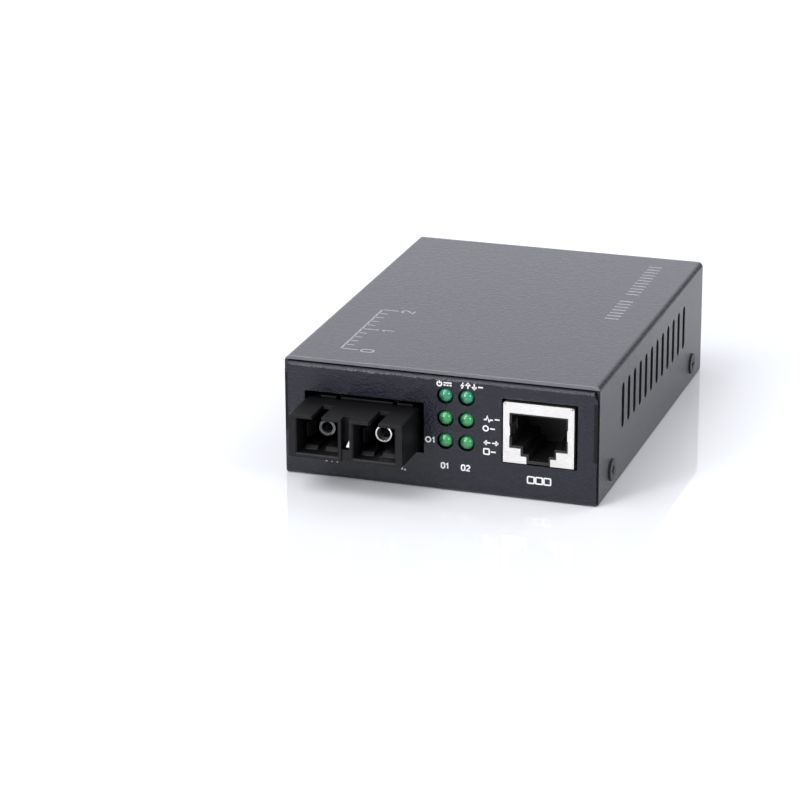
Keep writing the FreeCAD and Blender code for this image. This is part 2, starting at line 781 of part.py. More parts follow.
NOSE_FACE = FRONT - NOSE_REACH
RECEPTACLE_BACK = NOSE_FACE + PORT_DEPTH + 1.2
BOARD_STEP = behind(BOARD_FRONT - 0.2)
CASE_FRONT = behind(1.0)
CASE_BACK = behind(30.0)
CASE_TOP = 18.3
CASE_X = -16.5
CASE_HALF = 10.4
CASE_BASE = BOARD_TOP + 0.1


def make_receptacle():
    """The moulded nose with two fibre ports, and the root that it plugs into the case with."""
    half = NOSE_WIDTH / 2
    nose = block_about(FIBRE_X, half, NOSE_FACE, BOARD_STEP, NOSE_LOW, NOSE_HIGH)
    nose = rounded(nose, 0.45, lambda edge: runs_along(edge, ALONG_Y))
    root = block_about(FIBRE_X, half - 0.9, BOARD_STEP - 1, RECEPTACLE_BACK, CASE_BASE,
                       NOSE_HIGH - 0.2)
    body = fused([nose, root])
    cuts = [block_about(FIBRE_X, GROOVE_WIDTH / 2, NOSE_FACE - 1, NOSE_FACE + GROOVE_DEPTH,
                        NOSE_LOW - 1, NOSE_HIGH + 1)]
    for x in PORT_CENTRES:
        cuts += port_cuts(x)
    body = body.cut(cuts)
    block_low = block_about(FIBRE_X, GROOVE_WIDTH / 2, NOSE_FACE + 0.35, NOSE_FACE + GROOVE_DEPTH,
                            NOSE_LOW + 0.2, NOSE_LOW + 2.7)
    ribs = [floor_rib(x, side) for x in PORT_CENTRES for side in (-1, 1)]
    return fused([body, block_low] + ribs)


def port_cuts(x):
    """A fibre port: its room, its bevelled mouth and its keyway."""
    half = PORT_WIDTH / 2
    low = PORT_Z - PORT_HEIGHT / 2
    high = PORT_Z + PORT_HEIGHT / 2
    room = block_about(x, half, NOSE_FACE - 1, NOSE_FACE + PORT_DEPTH, low, high)
    lip = 0.3
    mouth = Part.makeLoft([
        rectangle(x, half + lip, NOSE_FACE, low - lip, high + lip),
        rectangle(x, half, NOSE_FACE + lip, low, high),
    ], True)
    keyway = block_about(x, KEYWAY_WIDTH / 2, NOSE_FACE - 1, NOSE_FACE + KEYWAY_LENGTH,
                         high - 0.1, NOSE_HIGH + 1)
    return [room, mouth, keyway]


def rectangle(x, half, y, low, high):
    """An upright rectangular wire at a Y plane."""
    corners = [Vector(x - half, y, low), Vector(x + half, y, low),
               Vector(x + half, y, high), Vector(x - half, y, high)]
    return Part.makePolygon(corners + corners[:1])


def floor_rib(x, side):
    """One of the two guide ribs on a port's floor, with a sloped start."""
    low = PORT_Z - PORT_HEIGHT / 2
    top = low + RIB_HEIGHT
    start = NOSE_FACE + RIB_SETBACK
    end = NOSE_FACE + PORT_DEPTH
    rib = [(start, low - 0.1), (start, low + 0.1), (start + RIB_HEIGHT, top), (end, top),
           (end, low - 0.1)]
    edges = sorted((x + side * RIB_INNER, x + side * RIB_OUTER))
    return prism(rib, in_yz(edges[0]), ALONG_X * (edges[1] - edges[0]))


def make_port_latch(x):
    """The clip inside a port: a plate across its back and two hooked arms for the plug."""
    back = NOSE_FACE + PORT_DEPTH - 0.05
    plate_front = back - 1.6
    half = PORT_WIDTH / 2 - 0.1
    tall = PORT_HEIGHT / 2 - 0.1
    low = PORT_Z - PORT_HEIGHT / 2 + RIB_HEIGHT + 0.05
    plate = block_about(x, half, plate_front, back, low, PORT_Z + tall)
    arms = [latch_arm(x, side, plate_front) for side in (-1, 1)]
    collar = SLEEVE_RADIUS + 0.05
    hole = block_about(x, collar, plate_front - 1, back + 1, PORT_Z - collar, PORT_Z + collar)
    return fused([plate] + arms).cut(hole)


def latch_arm(x, side, root):
    """One arm, from the plate towards the mouth, with a hook that leans inwards."""
    tip = NOSE_FACE + 4.4
    outer = 4.1
    inner = 3.25
    outline = [
        (x + side * outer, root + 0.5),
        (x + side * outer, tip + 0.5),
        (x + side * (outer - 0.35), tip),
        (x + side * (inner - 0.1), tip + 0.9),
        (x + side * (inner - 0.75), tip + 2.3),
        (x + side * (inner - 0.75), tip + 2.9),
        (x + side * inner, tip + 2.9),
        (x + side * inner, root + 0.5),
    ]
    return prism(outline, in_xy(PORT_Z - 1.7), ALONG_Z * 3.4)


def make_sleeve(x, bore_radius):
    """The round sleeve in the middle of a port, closed at its root."""
    mouth = NOSE_FACE + SLEEVE_SETBACK
    end = NOSE_FACE + PORT_DEPTH
    barrel = rod(SLEEVE_RADIUS, Vector(x, mouth, PORT_Z), Vector(x, end, PORT_Z))
    bore = rod(bore_radius, Vector(x, mouth - 1, PORT_Z), Vector(x, end - SLEEVE_END, PORT_Z))
    return barrel.cut(bore)


def make_liner(x):
    """The slit ceramic tube inside the metal sleeve, which centres and grips the plug's ferrule."""
    start = NOSE_FACE + SLEEVE_SETBACK + LINER_SETBACK
    end = NOSE_FACE + PORT_DEPTH - SLEEVE_END
    tube = rod(LINER_RADIUS, Vector(x, start, PORT_Z), Vector(x, end, PORT_Z))
    bore = rod(FERRULE_BORE, Vector(x, start - 1, PORT_Z), Vector(x, end + 1, PORT_Z))
    slit = block_about(x, LINER_SLIT / 2, start - 1, end + 1, PORT_Z, PORT_Z + SLEEVE_RADIUS)
    return tube.cut([bore, slit])


def make_receptacle_clip():
    """The bright spring clip in the groove between the ports."""
    face = NOSE_FACE + 0.7
    low = PORT_Z - 1.65
    high = PORT_Z + 0.4
    x0 = FIBRE_X
    x1 = FIBRE_X + GROOVE_WIDTH / 2 - 0.03
    lug = [(x1, low), (x1, high), (x0, low + 0.35), (x0, low)]
    return prism(lug, in_xz(face), ALONG_Y * (GROOVE_DEPTH - 0.75))


def make_transceiver_case():
    """The rear housing that holds the optics, with a lip over the receptacle's root."""
    rear = block_about(CASE_X, CASE_HALF, RECEPTACLE_BACK + 0.05, CASE_BACK, CASE_BASE, CASE_TOP)
    lip = block_about(CASE_X, CASE_HALF, CASE_FRONT, RECEPTACLE_BACK + 1, NOSE_HIGH + 0.05,
                      CASE_TOP)
    notches = [block_about(x, 0.5, CASE_FRONT - 1, CASE_FRONT + 1.6, NOSE_HIGH, CASE_TOP + 1)
               for x in (CASE_X - PORT_PITCH / 2, CASE_X + PORT_PITCH / 2)]
    return fused([rear, lip]).cut(notches)


def transceiver_feet():
    """The transceiver's nine pins, in one row."""
    pitch = 2.54
    first = FIBRE_X - 4 * pitch
    return [(first + index * pitch, CASE_BACK - 4.5) for index in range(9)]


def transceiver_studs():
    """Its two fixing studs, ahead of the pins."""
    return [(FIBRE_X + side * 10.16, CASE_BACK - 14.6) for side in (-1, 1)]


def make_transceiver_pins():
    """Nine signal pins and two fixing studs."""
    low = BOARD_LIFT - PIN_TAIL
    posts = [(x, y, 0.25) for x, y in transceiver_feet()]
    posts += [(x, y, 0.8) for x, y in transceiver_studs()]
    return Part.Compound([block(x - half, x + half, y - half, y + half, low, CASE_BASE)
                          for x, y, half in posts])


# ---- Power inlet ----------------------------------------------------------------------------

INLET_FACE = REAR - SHEET - 0.2
INLET_MOUTH = REAR + 0.2


def inlet_feet():
    """Where the inlet's terminals go through the board."""
    return [(INLET_X, INLET_FACE - INLET_LENGTH - 0.2), (INLET_X, INLET_MOUTH - 7.2)]


def make_power_inlet_body():
    """The moulded inlet: a block on the board with a round collar through the rear panel."""
    half = INLET_WIDTH / 2
    body = block_about(INLET_X, half, INLET_FACE - INLET_LENGTH, INLET_FACE, BOARD_TOP,
                       INLET_Z + INLET_HEIGHT / 2 - 1.0)
    collar = rod(INLET_COLLAR, Vector(INLET_X, INLET_FACE - 1, INLET_Z),
                 Vector(INLET_X, INLET_MOUTH, INLET_Z))
    body = fused([body, collar])
    bottom = INLET_MOUTH - INLET_BORE_DEPTH
    bore = rod(INLET_BORE, Vector(INLET_X, bottom, INLET_Z), Vector(INLET_X, INLET_MOUTH, INLET_Z))
    pin_hole = rod(INLET_PIN + 0.02, Vector(INLET_X, bottom - 10, INLET_Z),
                   Vector(INLET_X, INLET_MOUTH, INLET_Z))
    spring_slot = block_about(INLET_X, 1.3, bottom + 0.6, INLET_MOUTH - 2.2,
                              BOARD_TOP - 1, INLET_Z - INLET_BORE + 0.5)
    return body.cut([bore, pin_hole, spring_slot])


def make_power_inlet_pin():
    """The inlet's centre pin, and its terminal behind."""
    back = INLET_FACE - INLET_LENGTH
    tip = Vector(INLET_X, INLET_MOUTH - INLET_PIN_SETBACK, INLET_Z)
    pin = rod(INLET_PIN, Vector(INLET_X, back, INLET_Z), tip)
    terminal = block_about(INLET_X, 0.9, back - 0.4, back, BOARD_LIFT - PIN_TAIL, INLET_Z + 1.2)
    return fused([pin, terminal])


def make_power_inlet_spring():
    """The side contact that bears on the plug's barrel, with its terminal."""
    front = INLET_MOUTH - 2.6
    low = INLET_Z - INLET_BORE
    line = [
        (front, low + 0.02),
        (front - 1.6, low + 0.35),
        (front - 4.6, low - 0.5),
        (front - 4.6, BOARD_LIFT - PIN_TAIL),
    ]
    return creased_strip(line, 0.3, in_yz(INLET_X - 0.9), ALONG_X * 1.8)


# ---- Board parts ----------------------------------------------------------------------------

def make_main_chip():
    """The converter chip, a flat leadless package."""
    return on_board([chip_body(9.0, 9.0, 0.0, 0.9)], 2.0, 45.0)[0]


def make_magnetics():
    """The line transformer block between the socket and the chip."""
    return on_board([chip_body(9.4, 12.7, 0.3, 5.9)], 19.0, 31.0)[0]


def make_magnetics_leads():
    """Eight leads on each long side of the transformer block."""
    row = lead_row(8, 1.27, 4.7, 1.3, 1.6, 0.7, 0.25, 0.5)
    leads = [turned(lead, turn) for turn in (0, 180) for lead in row]
    return Part.Compound(on_board(leads, 19.0, 31.0))


def make_memory_chip():
    """The small settings memory, with its leads."""
    body = chip_body(3.9, 4.9, 0.15, 1.6)
    return on_board([body], 16.0, 50.0)[0]


def make_memory_chip_leads():
    """Four leads on each side of the memory."""
    row = lead_row(4, 1.27, 1.95, 1.0, 0.8, 0.5, 0.2, 0.4)
    leads = [turned(lead, turn) for turn in (0, 180) for lead in row]
    return Part.Compound(on_board(leads, 16.0, 50.0))


def make_regulator():
    """The voltage regulator's body."""
    return on_board([chip_body(3.5, 6.5, 0.1, 1.7)], 4.0, 72.0)[0]


def make_regulator_leads():
    """The regulator's three leads and its wide cooling tab."""
    row = lead_row(3, 2.3, 1.75, 1.6, 0.85, 0.8, 0.25, 0.7)
    tab = [turned(lead, 180) for lead in lead_row(1, 1.0, 1.75, 1.6, 0.85, 0.8, 0.25, 3.0)]
    return Part.Compound(on_board(row + tab, 4.0, 72.0))


def make_crystal():
    """The clock crystal: a small base with a raised metal lid."""
    base = block(-2.5, 2.5, -1.6, 1.6, 0.0, 0.8)
    lid = block(-2.2, 2.2, -1.3, 1.3, 0.8, 1.1)
    return on_board([fused([base, lid])], 2.0, 56.0)[0]


def make_inductor():
    """The power choke: a square shielded block with cut corners."""
    body = block(-3.6, 3.6, -3.6, 3.6, 0.0, 4.2)
    corners = [edge for edge in body.Edges if runs_along(edge, ALONG_Z)]
    return on_board([body.makeChamfer(1.1, corners)], 13.0, 66.0)[0]


CAPACITOR_PLACES = ((-8.0, 66.0), (-8.0, 76.0))
CAN_PROFILE = ((3.15, 1.0), (3.15, 7.2), (2.75, 7.6))    # radius, height


def make_capacitor_cans():
    """The electrolytic capacitors' cans, with bevelled tops."""
    cans = []
    for x, depth in CAPACITOR_PLACES:
        cans += on_board([in_flats(CAN_PROFILE, ROUND_SIDES)], x, depth)
    return Part.Compound(cans)


def make_capacitor_bases():
    """Their square moulded feet, with two cut corners that mark the positive side."""
    bases = []
    for x, depth in CAPACITOR_PLACES:
        half = 3.4
        base = block(-half, half, -half, half, 0.0, 1.0)
        marked = [edge for edge in base.Edges
                  if runs_along(edge, ALONG_Z) and edge.BoundBox.XMin > 0]
        bases += on_board([base.makeChamfer(1.0, marked)], x, depth)
    return Part.Compound(bases)


CHIP_LENGTH = 1.6
CHIP_WIDTH = 0.8


def chip_grid(columns, rows, x0, y0, pitch_x, pitch_y):
    """Places of small parts in a regular field of the board."""
    return [(x0 + column * pitch_x, y0 + row * pitch_y)
            for column in range(columns) for row in range(rows)]


def make_chip_resistors():
    """The line terminations and the lamps' resistors."""
    places = chip_grid(6, 1, 0.0, 17.5, 1.8, 1.0) + chip_grid(4, 2, 11.0, 40.5, 2.0, 2.4)
    small = []
    for x, depth in places:
        half = CHIP_WIDTH / 2
        body = block(-half, half, -CHIP_LENGTH / 2, CHIP_LENGTH / 2, 0.0, 0.45)
        small += on_board([body], x, depth)
    return Part.Compound(small)


def make_chip_capacitors():
    """The supply capacitors round the chip and under the transceiver's supply pins."""
    places = chip_grid(1, 5, -7.5, 41.0, 2.0, 2.0) + chip_grid(5, 1, -22.6, 34.5, 2.4, 2.0)
    small = []
    for x, depth in places:
        half = CHIP_WIDTH / 2
        body = block(-CHIP_LENGTH / 2, CHIP_LENGTH / 2, -half, half, 0.0, 0.8)
        small += on_board([body], x, depth)
    return Part.Compound(small)


# ---- All pieces -----------------------------------------------------------------------------

def all_pieces():
    """Every piece by its name."""
    pieces = {
        "tray": make_tray(),
        "cover": make_cover(),
        "cover_screws": make_cover_screws(),
        "standoffs": make_standoffs(),
        "board": make_board(),
        "board_screws": make_board_screws(),
        "jack_shield": make_jack_shield(),
        "jack_insert": make_jack_insert(),
        "jack_contacts": make_jack_contacts(),
        "lamp_stand_left": make_lamp_stand(LAMP_COLUMNS[0]),
        "lamp_stand_right": make_lamp_stand(LAMP_COLUMNS[1]),
        "lamp_leads": make_lamp_leads(),
        "receptacle": make_receptacle(),
        "receptacle_clip": make_receptacle_clip(),
        "port_latch_left": make_port_latch(PORT_CENTRES[0]),
        "port_latch_right": make_port_latch(PORT_CENTRES[1]),
        "sleeve_left": make_sleeve(PORT_CENTRES[0], FERRULE_BORE),
        "sleeve_right": make_sleeve(PORT_CENTRES[1], SLEEVE_LIP),
        "liner": make_liner(PORT_CENTRES[1]),
        "transceiver_case": make_transceiver_case(),
        "transceiver_pins": make_transceiver_pins(),
        "power_inlet_body": make_power_inlet_body(),
        "power_inlet_pin": make_power_inlet_pin(),
        "power_inlet_spring": make_power_inlet_spring(),
        "main_chip": make_main_chip(),
        "magnetics": make_magnetics(),
        "magnetics_leads": make_magnetics_leads(),
        "memory_chip": make_memory_chip(),
        "memory_chip_leads": make_memory_chip_leads(),
        "regulator": make_regulator(),
        "regulator_leads": make_regulator_leads(),
        "crystal": make_crystal(),
        "inductor": make_inductor(),
        "capacitor_cans": make_capacitor_cans(),
        "capacitor_bases": make_capacitor_bases(),
        "chip_resistors": make_chip_resistors(),
        "chip_capacitors": make_chip_capacitors(),
    }
    for column, x in zip(("left", "right"), LAMP_COLUMNS):
        for row, z in zip(("top", "middle", "bottom"), LAMP_ROWS):
            pieces[f"lamp_{column}_{row}"] = make_lamp(x, z)
    return pieces


os.makedirs("parts", exist_ok=True)
for name, shape in all_pieces().items():
    shape.exportStep(f"parts/{name}.step")
    print(name, "solids", len(shape.Solids), "volume", round(shape.Volume, 2), "valid", shape.isValid())
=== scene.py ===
# %% [markdown]
# # A fibre media converter, dressed for its portrait
#
# The object is a small network box. A sheet of steel is folded into a tray with a front and a
# rear panel, a second sheet is folded over it as a cover, and both are powder-coated black. In
# front sit a shielded network socket, six round lamps and a duplex fibre port.
#
# The solids are already exact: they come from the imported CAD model, which is loaded below as a
# fixed frame. What Blender adds is what a machinist's drawing leaves out: soft edges, surface
# finishes, clear lamp domes, printed marks, and the studio round it all.

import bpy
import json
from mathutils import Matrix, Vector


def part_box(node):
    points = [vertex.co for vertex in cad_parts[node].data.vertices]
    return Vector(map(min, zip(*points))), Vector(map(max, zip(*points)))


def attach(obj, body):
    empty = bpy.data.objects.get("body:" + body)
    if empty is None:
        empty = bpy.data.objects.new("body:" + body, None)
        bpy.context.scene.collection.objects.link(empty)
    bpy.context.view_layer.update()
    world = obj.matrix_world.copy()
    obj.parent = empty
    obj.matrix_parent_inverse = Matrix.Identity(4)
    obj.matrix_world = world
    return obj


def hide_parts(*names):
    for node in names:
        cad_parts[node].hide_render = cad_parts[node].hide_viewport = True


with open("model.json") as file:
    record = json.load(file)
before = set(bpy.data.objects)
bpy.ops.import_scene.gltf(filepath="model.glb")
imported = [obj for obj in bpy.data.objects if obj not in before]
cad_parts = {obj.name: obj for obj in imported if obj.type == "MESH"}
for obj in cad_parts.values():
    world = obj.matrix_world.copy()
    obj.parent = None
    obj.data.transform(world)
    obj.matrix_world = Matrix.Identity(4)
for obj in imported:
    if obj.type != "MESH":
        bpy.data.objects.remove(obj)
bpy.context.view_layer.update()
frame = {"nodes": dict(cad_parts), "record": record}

import json
import math

import bmesh
import bpy
import numpy as np
from mathutils import Matrix, Vector

print("frame loaded:", len(frame["nodes"]), "CAD nodes")

# %% [markdown]
# ## Units
#
# Blender works in metres here, and the case is under a tenth of a metre long. Lengths are
# easier to read in millimetres, so every length below is written as a number times `MM`.

# %% Units and the box of a node
MM = 0.001


def box_of(node):
    """The lowest and highest corner of a CAD node, as two numpy arrays in metres."""
    low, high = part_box(node)
    return np.array(low), np.array(high)


def centre_of(node):
    """The middle of a CAD node's box."""
    low, high = box_of(node)
    return (low + high) / 2


# %% [markdown]
# ## A small language for materials
#
# A finish such as powder coat is arithmetic: a base value, plus a little noise, times a mask.
# Wiring that up node by node hides the idea. The class `Wire` wraps one socket of a node tree,
# and `+`, `-` and `*` on it add the Math node that they stand for, so a finish reads as a
# formula. `Finish.node` adds any other node: its type, its settings, then its inputs.

# %% Wire: a socket that can be added, subtracted and multiplied
class Wire:
    """One output socket. Arithmetic on it adds a Math node and gives the new output."""

    def __init__(self, finish, socket):
        self.finish = finish
        self.socket = socket

    def _maths(self, operation, first, second):
        return self.finish.node("ShaderNodeMath", {"operation": operation}, [first, second])

    def __add__(self, other):
        return self._maths("ADD", self, other)

    def __radd__(self, other):
        return self._maths("ADD", other, self)

    def __sub__(self, other):
        return self._maths("SUBTRACT", self, other)

    def __rsub__(self, other):
        return self._maths("SUBTRACT", other, self)

    def __mul__(self, other):
        return self._maths("MULTIPLY", self, other)

    def __rmul__(self, other):
        return self._maths("MULTIPLY", other, self)


# %% Finish: one material and its node tree
class Finish:
    """A material with a Principled shader. Its methods add nodes and return Wires."""

    def __init__(self, name, **uniform):
        self.material = bpy.data.materials.new(name)
        self.material.use_nodes = True
        self.tree = self.material.node_tree
        self.shader = self.tree.nodes["Principled BSDF"]
        self.set(**uniform)

    def node(self, kind, settings=None, inputs=(), output=0):
        """Adds a node: settings first, then its inputs by position or by name."""
        made = self.tree.nodes.new(kind)
        for name, value in (settings or {}).items():
            if name == "stops":
                self._stops(made.color_ramp, value)
            else:
                setattr(made, name, value)
        pairs = inputs.items() if isinstance(inputs, dict) else enumerate(inputs)
        for key, value in pairs:
            self._feed(made.inputs[key], value)
        return Wire(self, made.outputs[output])

    def _stops(self, ramp, stops):
        """A ramp's stops as (place, grey or colour)."""
        while len(ramp.elements) < len(stops):
            ramp.elements.new(1.0)
        for element, (place, tone) in zip(ramp.elements, stops):
            element.position = place
            element.color = rgba(tone)

    def _feed(self, socket, value):
        if isinstance(value, Wire):
            self.tree.links.new(value.socket, socket)
        else:
            socket.default_value = value

    def set(self, **sockets):
        """Sets the shader's sockets. Base_Color stands for the socket Base Color."""
        for name, value in sockets.items():
            self._feed(self.shader.inputs[name.replace("_", " ")], value)
        return self

    def place(self, stretch=(1, 1, 1)):
        """Object coordinates, stretched: a pattern laid out in metres on the piece."""
        coordinates = self.node("ShaderNodeTexCoord", output="Object")
        return self.node("ShaderNodeMapping", inputs={"Vector": coordinates, "Scale": stretch})

    def noise(self, size, detail=2.0, stretch=(1, 1, 1)):
        """Cloudy noise from 0 to 1 whose lumps measure about `size` metres."""
        inputs = {"Vector": self.place(stretch), "Scale": 1 / size, "Detail": detail}
        return self.node("ShaderNodeTexNoise", inputs=inputs, output="Fac")

    def pebbles(self, size):
        """Distance to the nearest of many scattered points, about `size` metres apart."""
        inputs = {"Vector": self.place(), "Scale": 1 / size}
        return self.node("ShaderNodeTexVoronoi", inputs=inputs, output="Distance")

    def ramp(self, value, *stops):
        """A value, turned into a tone by stops of (place, tone)."""
        return self.node("ShaderNodeValToRGB", {"stops": stops}, [value])

    def blend(self, mask, first, second):
        """A colour that goes from first to second as the mask goes from 0 to 1."""
        inputs = {"Factor": mask, 6: colour(first), 7: colour(second)}
        return self.node("ShaderNodeMix", {"data_type": "RGBA"}, inputs, output=2)

    def bump(self, height, depth, strength=1.0):
        """A height from 0 to 1 as a relief of `depth` metres."""
        inputs = {"Strength": strength, "Distance": depth, "Height": height}
        return self.node("ShaderNodeBump", inputs=inputs)


def rgba(tone):
    """A grey number or an RGB triple as four numbers."""
    return (tone, tone, tone, 1.0) if isinstance(tone, (int, float)) else (*tone, 1.0)


def colour(value):
    """Leaves a Wire as it is, and turns a tone into four numbers."""
    return value if isinstance(value, Wire) else rgba(value)


print("material helpers ready")

# %% [markdown]
# ## Powder coat
#
# The case is covered with a textured black powder coat. The powder melts into a skin of shallow
# pebbles about half a millimetre apart, with finer grit on it and a slower swell under it. The
# skin has some gloss: seen face on it is nearly black, and seen along the surface it mirrors
# the studio as a soft grey. That comes from the shader's own Fresnel, so the colour stays dark
# all over and the texture lives in the bump.
#
# Three places are odd. The slots' walls are painted near black as painted shade, and they are
# duller. The top of the cover's front cut edge is painted a lighter grey as a painted highlight,
# where its rounding catches light from above. And the powder flows out calmer on the level top.
# Each is a mask that is worked out from a point's place alone.

# %% Powder coat finish
PEBBLE_SIZE = 0.55 * MM
GRIT_SIZE = 0.2 * MM
SWELL_SIZE = 1.6 * MM
COAT_DEPTH = 0.058 * MM
RELIEF_MIDDLE = 1.3
# Painted shade: the near-black tone of the slot walls.
WALL_SHADE_TONE = 0.0008
# Painted highlight: the lighter grey on the top of the cover's front cut edge.
EDGE_HIGHLIGHT_TONE = (0.15, 0.15, 0.165)


def powder_coat(name, tone, roughness, masks=None):
    """Pebbles plus swell as relief, with mottled tone and gloss, and masks for painted shade, a
    painted highlight and the calm top.
    """
    finish = Finish(name, Specular_IOR_Level=0.43)
    mottling = finish.noise(1.1 * MM, detail=4.0)
    pebbles = finish.pebbles(PEBBLE_SIZE)
    grit = finish.noise(GRIT_SIZE, detail=3.0)
    swell = finish.noise(SWELL_SIZE, detail=1.0)
    relief = pebbles * 1.1 + grit * 0.9 + swell * 0.9
    dark = [channel * 0.75 for channel in tone]
    light = [channel * 1.35 for channel in tone]
    skin = finish.blend(mottling, dark, light)
    gloss = roughness - 0.06 + mottling * 0.12
    if masks:
        shaded_walls, lit_cut_edges, calm = masks(finish)
        relief = (relief - RELIEF_MIDDLE) * (1 - calm * 0.6)
        # Painted shade darkens the slot walls, and a painted highlight lightens the top of the
        # cover's front cut edge.
        skin = finish.blend(lit_cut_edges, finish.blend(shaded_walls, skin, WALL_SHADE_TONE), EDGE_HIGHLIGHT_TONE)
        gloss = gloss + shaded_walls * 0.6 + calm * 0.025
    finish.set(Base_Color=skin, Roughness=gloss, Normal=finish.bump(relief, COAT_DEPTH))
    return finish.material


def near(finish, axis, middle, half):
    """1 where the size of a coordinate lies within `half` of `middle`, else 0."""
    value = finish.node("ShaderNodeSeparateXYZ", inputs=[finish.place()], output=axis)
    size = finish.node("ShaderNodeMath", {"operation": "ABSOLUTE"}, [value])
    return finish.node("ShaderNodeMath", {"operation": "COMPARE"}, [size, middle, half])


def painted_light_and_calm_top(finish):
    """Slot walls for painted shade, the top of the front cut edge for a painted highlight, and the
    calmer top.
    """
    shaded_walls = near(finish, "X", 34.45 * MM, 0.42 * MM) * near(finish, "Z", 16.5 * MM, 6.5 * MM)
    # A thin band at the cover's front, high on its cut edge, gets a painted highlight.
    edge = (1 - near(finish, "Y", 0, COVER_END - 0.3 * MM)) * near(finish, "Y", 0, COVER_END)
    calm = near(finish, "Z", COVER_HEIGHT, 0.3 * MM)
    return shaded_walls, edge * near(finish, "Z", 26.2 * MM, 0.42 * MM), calm


COVER_END = box_of("cover")[1][1] + 0.01 * MM
COVER_HEIGHT = box_of("cover")[1][2]
case_coat = powder_coat("case_powder_coat", (0.006, 0.0065, 0.0135), 0.21, painted_light_and_calm_top)
screw_black = powder_coat("screw_black_oxide", (0.012, 0.012, 0.013), 0.36)
print("powder coats:", case_coat.name, screw_black.name)

# %% [markdown]
# ## Moulded plastics
#
# The nose of the fibre port, the inside of the network socket and the power inlet are moulded.
# A mould leaves a very fine matt grain and, on large parts, a faint unevenness of gloss.

# %% Moulded plastic finish
def moulded(name, tone, roughness, grain=0.09 * MM, depth=0.006 * MM, gloss=0.5):
    """A plain tone with a fine mould grain and a slow drift of gloss."""
    finish = Finish(name, Specular_IOR_Level=gloss)
    drift = finish.noise(4.0 * MM, detail=2.0)
    grain_relief = finish.noise(grain, detail=2.0)
    light = [channel * 1.25 for channel in tone]
    finish.set(
        Base_Color=finish.blend(drift, tone, light),
        Roughness=roughness - 0.05 + drift * 0.10,
        Normal=finish.bump(grain_relief, depth),
    )
    return finish.material


port_black = moulded("port_moulding", (0.0035, 0.0035, 0.0045), 0.48, gloss=0.28)
socket_black = moulded("socket_moulding", (0.006, 0.006, 0.0065), 0.42)
latch_black = moulded("latch_moulding", (0.0035, 0.0035, 0.0045), 0.45, gloss=0.28)
stand_black = moulded("stand_moulding", (0.010, 0.010, 0.010), 0.5)
inlet_black = moulded("inlet_moulding", (0.011, 0.011, 0.012), 0.38)
chip_black = moulded("chip_resin", (0.017, 0.017, 0.019), 0.5, grain=0.05 * MM)
ferrite_grey = moulded("choke_ferrite", (0.060, 0.060, 0.066), 0.6, grain=0.12 * MM)
resistor_black = moulded("resistor_glaze", (0.016, 0.016, 0.022), 0.25)
capacitor_tan = moulded("capacitor_ceramic", (0.42, 0.30, 0.18), 0.45)
# The liner is pale ceramic. Here it is painted a dark brown as painted shade deep inside the bore.
liner_painted_shade = moulded("liner_ceramic", (0.030, 0.026, 0.022), 0.25)
print("mouldings ready")

# %% [markdown]
# ## Metals
#
# Plated steel is drawn or rolled before it is plated, so under the bright skin run very fine
# lines. A noise that is stretched along one axis gives those lines to both the gloss and the
# relief. Tin, zinc, brass and gold are the same recipe in other colours.

# %% Drawn and plated metal finish
def plated(name, tone, roughness, lines=(1, 1, 1), line_size=0.12 * MM, depth=0.0015 * MM):
    """A metal with fine drawn lines: noise stretched by `lines` drives gloss and relief."""
    finish = Finish(name, Metallic=1.0)
    streaks = finish.noise(line_size, detail=2.0, stretch=lines)
    clouds = finish.noise(2.5 * MM, detail=2.0)
    dull = [channel * 0.90 for channel in tone]
    finish.set(
        Base_Color=finish.blend(clouds, dull, tone),
        Roughness=roughness + streaks * 0.10,
        Normal=finish.bump(streaks, depth),
    )
    return finish.material


shield_nickel = plated("shield_nickel", (0.87, 0.845, 0.82), 0.24, (0.08, 1, 1), depth=0.0004 * MM)
sleeve_bright = plated("sleeve_metal", (0.90, 0.90, 0.90), 0.18)
clip_bright = plated("clip_steel", (0.82, 0.82, 0.82), 0.28)
contact_gold = plated("contact_gold", (0.92, 0.66, 0.26), 0.22)
lead_tin = plated("tinned_leads", (0.72, 0.72, 0.73), 0.34)
post_brass = plated("post_brass", (0.80, 0.60, 0.30), 0.30)
screw_zinc = plated("zinc_screws", (0.70, 0.71, 0.74), 0.30)
inlet_nickel = plated("inlet_metal", (0.80, 0.79, 0.75), 0.25)
crystal_steel = plated("crystal_metal", (0.74, 0.74, 0.75), 0.32)
can_aluminium = plated("can_aluminium", (0.80, 0.80, 0.82), 0.30)
print("metals ready")

# %% [markdown]
# ## The circuit board
#
# Green solder mask is a thin gloss lacquer over copper tracks. The tracks show as slightly
# lighter lines that run square to each other, so a brick pattern with a wide mortar is enough
# for a board that is only seen through the vents.

# %% Solder mask finish
def solder_mask(name):
    """Lacquer whose green is lighter over copper, with the tracks' edges as faint relief."""
    finish = Finish(name, Coat_Weight=0.5, Coat_Roughness=0.15)
    settings = {"offset": 0.5, "squash": 1.0}
    inputs = {"Vector": finish.place(), "Scale": 1 / (6.0 * MM), "Mortar Size": 0.09,
              "Color1": rgba(0.0), "Color2": rgba(0.35), "Mortar": rgba(1.0)}
    tracks = finish.node("ShaderNodeTexBrick", settings, inputs)
    mask = finish.node("ShaderNodeRGBToBW", inputs=[tracks])
    finish.set(
        Base_Color=finish.blend(mask, (0.010, 0.085, 0.040), (0.025, 0.16, 0.075)),
        Roughness=0.30 - mask * 0.08,
        Normal=finish.bump(mask, 0.02 * MM),
    )
    return finish.material


board_green = solder_mask("board_solder_mask")
print("board finish:", board_green.name)

# %% [markdown]
# ## Dressing the CAD nodes
#
# Every CAD node keeps its exact mesh. A small table says which finish each node wears, and a
# loop puts it in the node's material slots.

